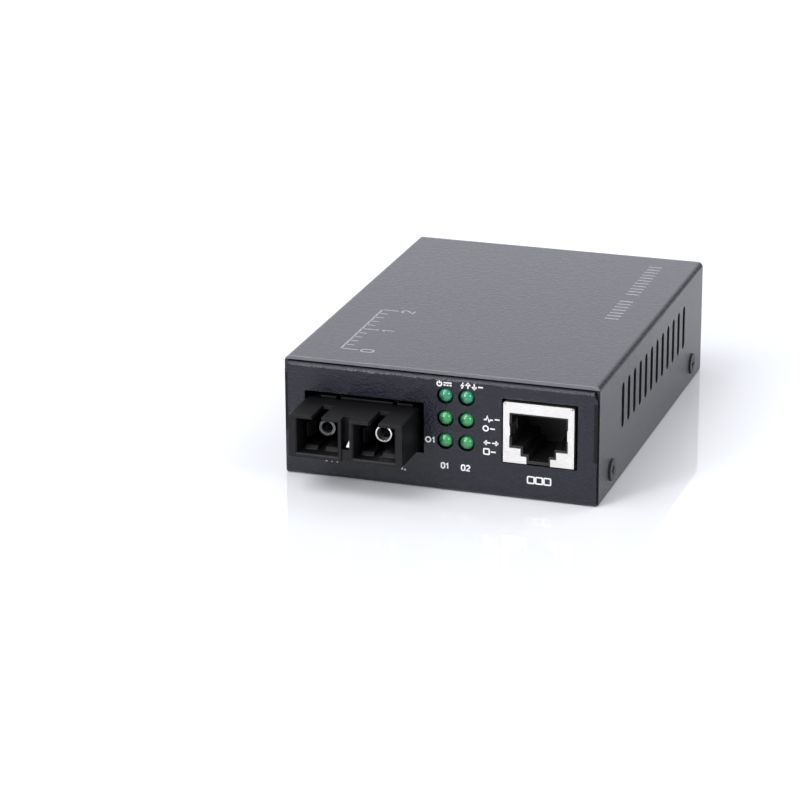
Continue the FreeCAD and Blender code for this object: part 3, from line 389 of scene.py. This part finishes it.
# %% Which finish each node wears
FINISH_OF_SLOT = {
    "case_paint": case_coat,
    "black_screws": screw_black,
    "post_brass": post_brass,
    "board_laminate": board_green,
    "zinc_screws": screw_zinc,
    "shield_nickel": shield_nickel,
    "socket_plastic": socket_black,
    "contact_gold": contact_gold,
    "stand_plastic": stand_black,
    "tinned_leads": lead_tin,
    "port_plastic": port_black,
    "clip_steel": clip_bright,
    "latch_plastic": latch_black,
    "sleeve_metal": sleeve_bright,
    "liner_ceramic": liner_painted_shade,
    "inlet_plastic": inlet_black,
    "inlet_metal": inlet_nickel,
    "chip_resin": chip_black,
    "crystal_metal": crystal_steel,
    "choke_ferrite": ferrite_grey,
    "can_aluminium": can_aluminium,
    "resistor_ceramic": resistor_black,
    "capacitor_ceramic": capacitor_tan,
}
SLOT_OF_NODE = {part["node"]: part["material_slot"] for part in frame["record"]["subparts"]}


def wear(node, material):
    """Puts a finish on a CAD node."""
    piece = frame["nodes"][node]
    for slot in piece.material_slots:
        slot.material = material
    if not piece.material_slots:
        piece.data.materials.append(material)


for node, slot in SLOT_OF_NODE.items():
    if slot in FINISH_OF_SLOT:
        wear(node, FINISH_OF_SLOT[slot])
print("dressed", len(SLOT_OF_NODE), "nodes")

# %% [markdown]
# ## Soft edges
#
# A CAD edge is infinitely sharp, and nothing real is. Paint rounds a sheet's cut edge to about
# a tenth of a millimetre, and a mould to a little more. These slivers catch the light and draw
# the outline of a dark object, so the pieces that the eye meets are copied, their triangles are
# joined back into flat faces, and a Bevel modifier rounds the edges. Weighted normals keep the
# large faces flat between them.
#
# One face can't hold a hole in Blender. So before the triangles are joined, the mesh is sliced
# by planes through the middle of its holes, and the slices are marked as seams, where the
# joining stops: each hole then lies between two faces instead of inside one.

# %% Where each piece is sliced
VENT_COUNT = 12
VENT_PITCH = 5.0 * MM
FIRST_VENT = 20.3 * MM
PANEL_FACE = box_of("tray")[0][1]
screw_low, screw_high = box_of("cover_screws")
screw_ys = [screw_low[1] + 2.45 * MM, screw_high[1] - 2.45 * MM]
lamp_xs = [centre_of(f"lamp_{side}_top")[0] for side in ("left", "right")]
port_xs = [centre_of(f"sleeve_{side}")[0] for side in ("left", "right")]
socket_x = centre_of("jack_shield")[0]
inlet_x = centre_of("power_inlet_body")[0]
vent_ys = [PANEL_FACE + FIRST_VENT + step * VENT_PITCH for step in range(VENT_COUNT)]
contact_xs = [socket_x + (step - 3.5) * 1.02 * MM for step in range(8)]
SLICES = {
    "cover": [(1, y) for y in vent_ys + screw_ys],
    "tray": [(0, x) for x in lamp_xs + port_xs + [socket_x, inlet_x]] + [(1, y) for y in screw_ys],
    "receptacle": [(0, x) for x in port_xs],
    "jack_shield": [(0, socket_x + shift * MM) for shift in (-7.4, 0, 7.4)],
    "jack_insert": [(0, x) for x in contact_xs],
    "power_inlet_body": [(0, inlet_x)],
}
print("slices:", {node: len(planes) for node, planes in SLICES.items()})

# %% Copy a node with rounded edges
def flat_faced(shell, planes):
    """Merges a CAD node's loose triangles, slices it and joins what is flat between slices."""
    bmesh.ops.remove_doubles(shell, verts=shell.verts, dist=0.0005 * MM)
    for axis, value in planes:
        point = np.zeros(3)
        point[axis] = value
        everything = shell.verts[:] + shell.edges[:] + shell.faces[:]
        cut = bmesh.ops.bisect_plane(shell, geom=everything, dist=0.0001 * MM, plane_co=point,
                                     plane_no=point / value)
        for edge in cut["geom_cut"]:
            if isinstance(edge, bmesh.types.BMEdge):
                edge.seam = True
    bmesh.ops.dissolve_limit(shell, angle_limit=math.radians(0.3), verts=shell.verts,
                             edges=shell.edges, delimit={"SEAM"})


def weigh_edges(shell, front, share, sharpest):
    """Bevel weights: 1 round the cut edge at the front, `share` on every other sharp edge."""
    weight = shell.edges.layers.float.new("bevel_weight_edge")
    for edge in shell.edges:
        if len(edge.link_faces) == 2 and edge.calc_face_angle() > math.radians(sharpest):
            at_front = all(vert.co.y < front + 0.01 * MM for vert in edge.verts)
            edge[weight] = 1.0 if at_front else share


def softened(node, radius, segments=2, sharpest=32.0):
    """A copy of a CAD node, with its edges rounded by `radius`, that stands for the node."""
    source = frame["nodes"][node]
    mesh = source.data.copy()
    mesh.name = f"{node}_soft"
    shell = bmesh.new()
    shell.from_mesh(mesh)
    flat_faced(shell, SLICES.get(node, []))
    front_radius = FRONT_EDGES.get(node, radius)
    weigh_edges(shell, box_of(node)[0][1], radius / front_radius, sharpest)
    shell.to_mesh(mesh)
    shell.free()
    piece = bpy.data.objects.new(f"{node}_soft", mesh)
    bpy.context.scene.collection.objects.link(piece)
    mesh.polygons.foreach_set("use_smooth", np.ones(len(mesh.polygons), bool))
    bevel = piece.modifiers.new("rounded_edges", "BEVEL")
    bevel.width = front_radius
    bevel.segments = segments
    bevel.limit_method = "WEIGHT"
    bevel.miter_outer = "MITER_ARC"
    normals = piece.modifiers.new("flat_faces", "WEIGHTED_NORMAL")
    normals.keep_sharp = True
    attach(piece, "root")
    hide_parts(node)
    return piece


FRONT_EDGES = {"cover": 0.34 * MM}
SOFT_EDGES = {
    "tray": 0.12 * MM,
    "cover": 0.12 * MM,
    "cover_screws": 0.06 * MM,
    "receptacle": 0.13 * MM,
    "transceiver_case": 0.12 * MM,
    "port_latch_left": 0.10 * MM,
    "port_latch_right": 0.10 * MM,
    "receptacle_clip": 0.05 * MM,
    "sleeve_left": 0.06 * MM,
    "sleeve_right": 0.05 * MM,
    "liner": 0.03 * MM,
    "jack_shield": 0.05 * MM,
    "jack_insert": 0.08 * MM,
    "power_inlet_body": 0.12 * MM,
    "power_inlet_pin": 0.12 * MM,
}
soft_pieces = {node: softened(node, radius) for node, radius in SOFT_EDGES.items()}
print("rounded the edges of", len(soft_pieces), "pieces")

# %% [markdown]
# ## The left port's barrel
#
# The receiving side has a barrel of smoky clear resin instead of a metal sleeve. Its wall
# gathers light at the rim and looks cloudy inside, so the colour drifts between a pale and a
# dark grey, under a glossy coat.

# %% Smoky resin
def smoky_resin(name):
    """Cloudy grey under a clear gloss coat."""
    finish = Finish(name, Coat_Weight=1.0, Coat_Roughness=0.04, Roughness=0.25)
    clouds = finish.noise(1.1 * MM, detail=2.0)
    tone = finish.ramp(clouds, (0.38, (0.03, 0.03, 0.033)), (0.62, (0.11, 0.113, 0.12)))
    return finish.set(Base_Color=tone).material


barrel_resin = smoky_resin("barrel_resin")
soft_pieces["sleeve_left"].data.materials.clear()
soft_pieces["sleeve_left"].data.materials.append(barrel_resin)
print("left barrel:", barrel_resin.name)

# %% [markdown]
# ## Surfaces from formulas
#
# A new piece is a surface over a grid of two parameters. `grid_faces` makes the faces over the
# grid of points: rows run along the first parameter, columns along the second, and the last
# column is always joined to the first, as round a lamp. `new_piece` makes the mesh object.

# %% Mesh from a grid of points
def new_piece(name, points, faces, material):
    """A mesh object at the origin that rides with the case."""
    mesh = bpy.data.meshes.new(name)
    mesh.from_pydata(points.tolist(), [], faces.tolist())
    mesh.materials.append(material)
    piece = bpy.data.objects.new(name, mesh)
    bpy.context.scene.collection.objects.link(piece)
    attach(piece, "root")
    return piece


def grid_faces(rows, columns):
    """Quads between neighbouring rows, closed round the columns."""
    row, column = np.meshgrid(np.arange(rows - 1), np.arange(columns), indexing="ij")
    after = (column + 1) % columns
    corners = [row * columns + column, row * columns + after,
               (row + 1) * columns + after, (row + 1) * columns + column]
    return np.stack(corners, axis=-1).reshape(-1, 4)


print("grid of 3 x 8 has", len(grid_faces(3, 8)), "faces")

# %% [markdown]
# ## Lamps
#
# Each lamp is a 3 mm diode in tinted resin: a straight barrel and a domed end that looks
# through its hole in the panel. The profile runs from the middle of the back, up the barrel and
# over the dome to the tip, and is turned round the lamp's axis. The piece also gets a UV map
# whose V is the distance from the axis, because inside the resin sits a pale reflector cup:
# near the axis the green is lighter, and towards the rim it is deep. The colour also holds
# painted light and shade: the upper right of each dome is painted lighter and the lower left
# darker, as if light came through the resin from one side.

# %% Turn a lamp's profile
LAMP_COLUMNS = ("left", "right")
LAMP_ROWS = ("top", "middle", "bottom")
LAMP_SIDES = 64
DOME_RINGS = 20


def lamp_profile(radius, length):
    """(distance from axis, distance along it): a barrel, then radius x (cos a, sin a)."""
    turn = np.linspace(0, math.pi / 2, DOME_RINGS)
    dome = np.stack([radius * np.cos(turn), length - radius + radius * np.sin(turn)], axis=1)
    edge = 0.12 * MM
    back = np.array([[radius * 0.02, 0], [radius - edge, 0], [radius, edge]])
    dome[-1, 0] = radius * 0.004
    return np.concatenate([back, dome])


def make_lens(node, material):
    """Turns the profile about the CAD lamp's axis: x = r cos t, z = r sin t, y along it."""
    low, high = box_of(node)
    middle = (low + high) / 2
    radius = (high[0] - low[0]) / 2
    profile = lamp_profile(radius, high[1] - low[1])
    turn = np.arange(LAMP_SIDES) * 2 * math.pi / LAMP_SIDES
    reach = profile[:, :1]
    x = middle[0] + reach * np.cos(turn)
    z = middle[2] + reach * np.sin(turn)
    y = np.repeat(high[1] - profile[:, 1:], LAMP_SIDES, axis=1)
    points = np.stack([x, y, z], axis=-1).reshape(-1, 3)
    rows = len(profile)
    faces = grid_faces(rows, LAMP_SIDES).tolist()
    faces.append(list(range(LAMP_SIDES))[::-1])
    faces.append(list(range((rows - 1) * LAMP_SIDES, rows * LAMP_SIDES)))
    mesh = bpy.data.meshes.new(f"{node}_lens")
    mesh.from_pydata(points.tolist(), [], faces)
    mesh.polygons.foreach_set("use_smooth", np.ones(len(mesh.polygons), bool))
    corner_vertex = np.zeros(len(mesh.loops), np.int32)
    mesh.loops.foreach_get("vertex_index", corner_vertex)
    distance = np.repeat(profile[:, 0] / radius, LAMP_SIDES)
    round_share = np.tile(turn / (2 * math.pi), rows)
    uv = np.stack([round_share, distance], axis=1)[corner_vertex]
    mesh.uv_layers.new(name="lamp_uv").data.foreach_set("uv", uv.astype(np.float32).ravel())
    mesh.materials.append(material)
    lens = bpy.data.objects.new(f"{node}_lens", mesh)
    bpy.context.scene.collection.objects.link(lens)
    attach(lens, "root")
    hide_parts(node)
    return lens


# %% Tinted resin for the lamps
def tinted_resin(name, cup_and_lit_side, body, rim_and_shaded_side):
    """Three greens across the lamp: lighter over the cup, with a painted highlight to the upper
    right and painted shade to the lower left.
    """
    finish = Finish(name, Roughness=0.12, Specular_IOR_Level=0.4, Coat_Weight=1.0,
                    Coat_Roughness=0.05)
    uv = finish.node("ShaderNodeUVMap", {"uv_map": "lamp_uv"})
    share = finish.node("ShaderNodeSeparateXYZ", inputs=[uv], output="X")
    reach = finish.node("ShaderNodeSeparateXYZ", inputs=[uv], output="Y")
    # The cosine of the turn is painted light and shade: it lightens the dome's upper right and
    # darkens its lower left.
    lit_side = finish.node("ShaderNodeMath", {"operation": "COSINE"},
                         [share * (2 * math.pi) - math.radians(40)])
    clouds = finish.noise(0.9 * MM, detail=2.0)
    level = reach * lit_side * 0.42 + reach * reach * -0.25 + clouds * 0.25 + 0.42
    tone = finish.ramp(level, (0.12, rim_and_shaded_side), (0.48, body), (0.86, cup_and_lit_side))
    return finish.set(Base_Color=tone).material


green_resin = tinted_resin("lamp_green_resin", (0.07, 0.42, 0.14), (0.014, 0.19, 0.062),
                           (0.002, 0.045, 0.022))
teal_resin = tinted_resin("lamp_teal_resin", (0.05, 0.38, 0.21), (0.008, 0.165, 0.09),
                          (0.002, 0.045, 0.03))
for column in LAMP_COLUMNS:
    for row in LAMP_ROWS:
        resin, slot = (teal_resin, "lamp_teal") if row == "top" else (green_resin, "lamp_green")
        make_lens(f"lamp_{column}_{row}", resin)
print("lenses:", len(LAMP_COLUMNS) * len(LAMP_ROWS))

# %% [markdown]
# ## Printed marks
#
# The panel carries small white marks that say what each lamp and port is. They are screen
# printed: ink a few hundredths of a millimetre thick. Here they are plain numbers, arrows and
# bars. Each mark is a set of strokes, a stroke is a line of a given width, and its outline is
# the line moved half a width to either side, mitred at the corners. The outline is then given
# the ink's thickness, which leaves the print as real, closed geometry.

# %% Strokes of the marks, in a unit box
def arc(x, y, radius, start, end, steps=14):
    """Points on a circle from one angle to another, in degrees."""
    turn = np.radians(np.linspace(start, end, steps))
    return np.stack([x + radius * np.cos(turn), y + radius * np.sin(turn)], axis=1)


def line(*points):
    """Points joined by straight lines."""
    return np.array(points, float)


def ring(width, height, radius):
    """A closed rounded rectangle from (0, 0), anticlockwise."""
    corners = [(width - radius, radius, -90), (width - radius, height - radius, 0),
               (radius, height - radius, 90), (radius, radius, 180)]
    parts = [arc(x, y, radius, start, start + 90, 6) for x, y, start in corners]
    loop = np.concatenate(parts)
    return np.concatenate([loop, loop[:1]])


MARKS = {
    "zero": (0.62, [ring(0.62, 1.0, 0.30)]),
    "one": (0.34, [line((0, 0.72), (0.26, 0.97), (0.26, 0))]),
    "cell": (1.5, [line((0, 0.72), (1.5, 0.72)), line((0, 0.28), (0.38, 0.28)),
                   line((0.56, 0.28), (0.94, 0.28)), line((1.12, 0.28), (1.5, 0.28))]),
    "bolt": (0.62, [line((0.46, 1.04), (0.08, 0.44), (0.54, 0.56), (0.16, -0.04))]),
    "rungs": (2.06, [line((x, 0), (x, 1)) for x in (0, 1.03, 2.06)]),
    "stub": (0.3, [line((0, 0.04), (0.3, 0.04))]),
    "dash": (0.9, [line((0, 0.5), (0.9, 0.5))]),
    "two": (0.60, [np.concatenate([arc(0.30, 0.70, 0.29, 165, -35, 12), line((0, 0), (0.62, 0))])]),
    "power": (0.92, [arc(0.46, 0.45, 0.42, 60, -240, 22), line((0.46, 1.05), (0.46, 0.50))]),
    "right": (1.10, [line((0, 0.5), (1.02, 0.5)), line((0.66, 0.92), (1.08, 0.5), (0.66, 0.08))]),
    "left": (1.10, [line((1.10, 0.5), (0.08, 0.5)), line((0.44, 0.92), (0.02, 0.5), (0.44, 0.08))]),
    "up": (0.84, [line((0.42, 0), (0.42, 0.92)), line((0, 0.56), (0.42, 0.98), (0.84, 0.56))]),
    "down": (0.84, [line((0.42, 1), (0.42, 0.08)), line((0, 0.44), (0.42, 0.02), (0.84, 0.44))]),
    "pulse": (1.7, [line((0, 0.35), (0.4, 0.35), (0.65, 1.0), (0.95, 0.0), (1.2, 0.35),
                         (1.7, 0.35))]),
    "circle": (1.0, [arc(0.5, 0.5, 0.46, 0, 360, 26)]),
    "square": (1.0, [ring(1.0, 1.0, 0.12)]),
}
print("marks:", ", ".join(MARKS))

# %% A stroke's outline and its ink
def stroke_outline(points, width):
    """Left and right sides: point +/- half width x mitre, with the mitre from both headings."""
    closed = np.allclose(points[0], points[-1])
    heading = np.diff(points, axis=0)
    heading /= np.linalg.norm(heading, axis=1, keepdims=True)
    before = np.concatenate([heading[-1:] if closed else heading[:1], heading])
    after = np.concatenate([heading, heading[:1] if closed else heading[-1:]])
    normal = np.stack([-(before + after)[:, 1], (before + after)[:, 0]], axis=1)
    mitre = normal / (1 + np.sum(before * after, axis=1, keepdims=True))
    length = np.linalg.norm(mitre, axis=1, keepdims=True)
    mitre *= np.minimum(1.0, 1.6 / length)
    return points + mitre * width / 2, points - mitre * width / 2


def stroke_solid(points, width, thickness):
    """A stroke as a closed band: four corners a section, joined section to section."""
    left, right = stroke_outline(points, width)
    flat = np.concatenate([left, right, right, left])
    level = np.repeat([0.0, thickness], 2 * len(points))
    sections = len(points)
    step = np.arange(sections - 1)
    track = [step, step + sections, step + 2 * sections, step + 3 * sections]
    faces = [np.stack([track[i], track[(i + 1) % 4], track[(i + 1) % 4] + 1, track[i] + 1], 1)
             for i in range(4)]
    ends = np.array([[0, 1, 2, 3]]) * sections
    ends = np.concatenate([ends[:, ::-1], ends + sections - 1])
    return np.column_stack([flat, level]), np.concatenate(faces + [ends])


def printed(name, strokes, width, place, material, thickness=0.02 * MM):
    """One piece of ink out of many strokes. `place` puts flat (u, v, level) points in space."""
    points, faces, count = [], [], 0
    for stroke in strokes:
        solid, quads = stroke_solid(stroke, width, thickness)
        points.append(solid)
        faces.append(quads + count)
        count += len(solid)
    piece = new_piece(name, place(np.concatenate(points)), np.concatenate(faces), material)
    shell = bmesh.new()
    shell.from_mesh(piece.data)
    bmesh.ops.recalc_face_normals(shell, faces=shell.faces)
    shell.to_mesh(piece.data)
    shell.free()
    return piece


def row_of_marks(names, height, gap, middle, bottom):
    """Marks side by side in (u, v), centred on `middle` with their feet on `bottom`."""
    widths = [MARKS[name][0] * height for name in names]
    start = middle - (sum(widths) + gap * (len(names) - 1)) / 2
    strokes = []
    for name, width in zip(names, widths):
        strokes += [stroke * height + (start, bottom) for stroke in MARKS[name][1]]
        start += width + gap
    return strokes


# %% [markdown]
# ## The front panel's print
#
# Marks stand over, under and beside the lamps, and under the ports. Their places follow the
# pieces that they belong to, so they are worked out from the boxes of those nodes.

# %% Ink and the panel's marks
def screen_ink(name, tone, roughness=0.5):
    """Flat ink with the coat's pebbles showing through it."""
    finish = Finish(name, Roughness=roughness, Specular_IOR_Level=0.4)
    wear_and_dust = finish.noise(0.5 * MM, detail=2.0)
    thin = [channel * 0.82 for channel in tone]
    finish.set(
        Base_Color=finish.blend(wear_and_dust, thin, tone),
        Normal=finish.bump(finish.pebbles(0.42 * MM), 0.02 * MM),
    )
    return finish.material


white_ink = screen_ink("print_white", (0.86, 0.86, 0.86))
grey_ink = screen_ink("print_grey", (0.36, 0.36, 0.40))
MARK_HEIGHT = 1.2 * MM
SOCKET_MARK_HEIGHT = 1.45 * MM
MARK_STROKE = 0.32 * MM
MARK_GAP = 0.36 * MM
left_x, right_x = lamp_xs
top_z, middle_z, bottom_z = (centre_of(f"lamp_left_{row}")[2] for row in LAMP_ROWS)


def on_panel(points):
    """Flat (u, v, level) to the front panel: u is X, v is Z, and ink rises towards -Y."""
    sink = 0.01 * MM
    return np.stack([points[:, 0], PANEL_FACE + sink - points[:, 2], points[:, 1]], axis=1)


PANEL_MARKS = [
    (["power", "cell"], left_x - 0.2 * MM, top_z + 2.05 * MM),
    (["bolt", "up", "down", "dash"], right_x + 1.2 * MM, top_z + 2.05 * MM),
    (["pulse", "dash"], right_x + 5.6 * MM, middle_z + 0.3 * MM),
    (["circle", "dash"], right_x + 5.0 * MM, middle_z - 1.85 * MM),
    (["left", "right"], right_x + 5.5 * MM, bottom_z + 0.05 * MM),
    (["square", "dash"], right_x + 5.2 * MM, bottom_z - 1.95 * MM),
    (["circle", "one"], left_x - 3.4 * MM, bottom_z - 0.65 * MM),
    (["zero", "one"], left_x - 0.1 * MM, 5.1 * MM),
    (["zero", "two"], right_x - 0.15 * MM, 5.1 * MM),
    (["rungs"], port_xs[0] - 0.5 * MM, 3.6 * MM),
    (["one", "stub"], port_xs[1] + 3.0 * MM, 3.7 * MM),
]
panel_strokes = []
for names, middle, bottom in PANEL_MARKS:
    panel_strokes += row_of_marks(names, MARK_HEIGHT, MARK_GAP, middle, bottom)
panel_strokes += row_of_marks(["square"] * 3, SOCKET_MARK_HEIGHT, MARK_GAP, socket_x, 3.9 * MM)
printed("panel_print", panel_strokes, MARK_STROKE, on_panel, white_ink)
print("panel strokes:", len(panel_strokes))

# %% [markdown]
# ## The cover's print
#
# The top carries print in grey near the front left and along the right. Both places hold plain
# things of their own here: a short scale with the numbers 0, 1 and 2, and a run of upright ticks
# in two groups. The numbers are read from the right-hand side, and turning a mark a quarter
# round is one swap: (a, b) becomes (-b, a).

# %% Scale and ticks on the cover
COVER_FRONT = box_of("cover")[0][1]
COVER_TOP = box_of("cover")[1][2]
SCALE_X = -25.0 * MM
SCALE_START = 8.0 * MM
SCALE_STEP = 2.8 * MM
SCALE_NUMBERS = ("zero", "one", "two")
NUMBER_FOOT = -17.6 * MM
NUMBER_HEIGHT = 2.8 * MM
TICK_X = 23.9 * MM
TICK_HEIGHT = 3.1 * MM
TICK_PITCH = 2.15 * MM
TICK_GROUPS = (45.2 * MM, 7), (63.5 * MM, 11)


def on_cover(points):
    """Flat (u, v, level) to the cover: u is X, v runs back from its front edge."""
    sink = 0.012 * MM
    return np.stack([points[:, 0], COVER_FRONT + points[:, 1], COVER_TOP - sink + points[:, 2]],
                    axis=1)


def quarter_turned(strokes):
    """Each point (a, b) of the strokes becomes (-b, a)."""
    return [np.stack([-stroke[:, 1], stroke[:, 0]], axis=1) for stroke in strokes]


def scale_strokes():
    """A line with eleven marks: every fifth is long and has a number beside it."""
    marks = SCALE_START + SCALE_STEP * np.arange(11)
    strokes = [line((SCALE_X, marks[0]), (SCALE_X, marks[-1]))]
    for count, along in enumerate(marks):
        reach = 3.9 * MM if count % 5 == 0 else 2.1 * MM
        strokes.append(line((SCALE_X, along), (SCALE_X + reach, along)))
    for name, along in zip(SCALE_NUMBERS, marks[::5]):
        strokes += quarter_turned(row_of_marks([name], NUMBER_HEIGHT, 0, along, -NUMBER_FOOT))
    return strokes


tick_places = [start + TICK_PITCH * step for start, number in TICK_GROUPS for step in range(number)]
ticks = [line((TICK_X, along), (TICK_X + TICK_HEIGHT, along)) for along in tick_places]
printed("cover_scale", scale_strokes(), 0.45 * MM, on_cover, grey_ink)
printed("cover_ticks", ticks, 0.62 * MM, on_cover, grey_ink)
print("cover strokes:", len(scale_strokes()) + len(ticks))

# %% [markdown]
# ## The studio
#
# The case stands on a pale glossy table. The table is one large sheet. The white beyond it comes
# from the world, which shows plain white to the camera and lights the object less, so that
# colours come out as written. What is mirrored in the object is a slightly cool white that
# fades towards the right, so that the front panel keeps its dark tone beside the light side.

# %% Table
def table_finish():
    """Pale lacquer: a light tone under a thin, clear mirror."""
    return Finish("table_lacquer", Base_Color=rgba((0.85, 0.86, 0.895)), Roughness=0.04,
                  Specular_IOR_Level=0.30).material


def make_table():
    """A flat sheet under the case."""
    half = 3.0
    corners = [(-half, -half, 0), (half, -half, 0), (half, half, 0), (-half, half, 0)]
    mesh = bpy.data.meshes.new("table")
    mesh.from_pydata(corners, [], [(0, 1, 2, 3)])
    mesh.materials.append(table_finish())
    table = bpy.data.objects.new("table", mesh)
    bpy.context.scene.collection.objects.link(table)
    table.location.z = -0.02 * MM
    return table


make_table()
print("table ready")

# %% World
MIRROR_FADE = {"From Min": 0.08, "From Max": 0.34, "To Min": 1.0, "To Max": 0.2}
MIRROR_TONE = (0.93, 0.945, 1.0)
FILL_TONE = (0.97, 0.985, 1.0)


def make_world(fill):
    """White to the camera, white to mirrors except at the right, and a dimmer white as light."""
    world = bpy.data.worlds.new("studio_white")
    bpy.context.scene.world = world
    world.use_nodes = True
    nodes, links = world.node_tree.nodes, world.node_tree.links
    nodes.clear()

    def plain(tone, strength):
        """One even background."""
        node = nodes.new("ShaderNodeBackground")
        node.inputs["Color"].default_value = rgba(tone)
        node.inputs["Strength"].default_value = strength
        return node

    def choose(factor, first, second):
        """`second` where the factor is 1, `first` where it is 0."""
        node = nodes.new("ShaderNodeMixShader")
        links.new(factor, node.inputs[0])
        links.new(first.outputs[0], node.inputs[1])
        links.new(second.outputs[0], node.inputs[2])
        return node

    rays = nodes.new("ShaderNodeLightPath")
    passed = nodes.new("ShaderNodeMath")
    passed.operation = "MAXIMUM"
    links.new(rays.outputs["Is Glossy Ray"], passed.inputs[0])
    links.new(rays.outputs["Is Transmission Ray"], passed.inputs[1])
    heading = nodes.new("ShaderNodeTexCoord")
    split = nodes.new("ShaderNodeSeparateXYZ")
    links.new(heading.outputs["Generated"], split.inputs[0])
    shade = nodes.new("ShaderNodeMapRange")
    links.new(split.outputs["X"], shade.inputs["Value"])
    for name, value in MIRROR_FADE.items():
        shade.inputs[name].default_value = value
    mirrored = plain(MIRROR_TONE, 1.0)
    links.new(shade.outputs["Result"], mirrored.inputs["Strength"])
    lit = choose(passed.outputs[0], plain(FILL_TONE, fill), mirrored)
    seen = choose(rays.outputs["Is Camera Ray"], lit, plain((1.0, 1.0, 1.0), 1.0))
    out = nodes.new("ShaderNodeOutputWorld")
    links.new(seen.outputs[0], out.inputs["Surface"])


make_world(0.62)
print("world ready")

# %% [markdown]
# ## The lamps
#
# Five softboxes face the case. The left one is kept out of the front panel's mirror direction,
# where it would burn out the bright socket by way of the table. The others light the top, the
# side and the case's back edge.

# %% Lights
def softbox(name, place, target, size, power, tint=(1.0, 1.0, 1.0)):
    """A rectangular area light that faces a point."""
    data = bpy.data.lights.new(name, "AREA")
    data.color = tint
    data.shape = "RECTANGLE"
    data.size, data.size_y = size
    data.energy = power
    lamp = bpy.data.objects.new(name, data)
    bpy.context.scene.collection.objects.link(lamp)
    lamp.location = place
    lamp.rotation_mode = "QUATERNION"
    lamp.rotation_quaternion = (Vector(target) - Vector(place)).to_track_quat("-Z", "Y")
    return lamp


MIDDLE = (0.0, 0.0, 0.012)
COOL = (0.88, 0.90, 1.0)
softbox("softbox_left", (-0.47, -0.86, 0.50), MIDDLE, (0.26, 0.26), 4.4)
softbox("softbox_right", (0.86, -0.50, 0.46), MIDDLE, (0.26, 0.26), 3.0)
softbox("softbox_top", (-0.34, -0.46, 0.98), MIDDLE, (0.7, 0.7), 5.2)
softbox("softbox_side", (0.35, 0.35, 0.60), MIDDLE, (0.3, 0.3), 0.8)
softbox("softbox_back", (-0.42, 1.20, 0.46), MIDDLE, (1.4, 0.6), 1.3, COOL)

# %% [markdown]
# ## The camera
#
# A long lens stands in front of the case, a little to its right and about twenty degrees above
# the table. Its direction is built from those two angles, and a small roll turns the picture.

# %% Camera
AZIMUTH = math.radians(18.5224)
ELEVATION = math.radians(19.6972)
ROLL = math.radians(-0.3011)
DISTANCE = 726.678 * MM
TARGET = Vector((-24.363, -0.25, 1.658)) * MM


def make_camera():
    """Camera axes from azimuth and elevation, turned by the roll about the line of sight."""
    back = Vector((math.sin(AZIMUTH) * math.cos(ELEVATION),
                   -math.cos(AZIMUTH) * math.cos(ELEVATION), math.sin(ELEVATION)))
    level = Vector((0, 0, 1)).cross(back).normalized()
    upright = back.cross(level)
    right = level * math.cos(ROLL) + upright * math.sin(ROLL)
    up = upright * math.cos(ROLL) - level * math.sin(ROLL)
    data = bpy.data.cameras.new("camera")
    data.sensor_width = 36.0
    data.lens = 142.749
    data.shift_y = 0.000214
    data.clip_start = 0.01
    camera = bpy.data.objects.new("camera", data)
    bpy.context.scene.collection.objects.link(camera)
    place = TARGET + back * DISTANCE
    axes = Matrix((right, up, back)).transposed().to_4x4()
    camera.matrix_world = Matrix.Translation(place) @ axes
    bpy.context.scene.camera = camera
    return camera


camera = make_camera()
bpy.context.scene.view_settings.view_transform = "Standard"
print("camera at, mm:", [round(value / MM, 1) for value in camera.location])

# %% The end
bpy.context.view_layer.update()
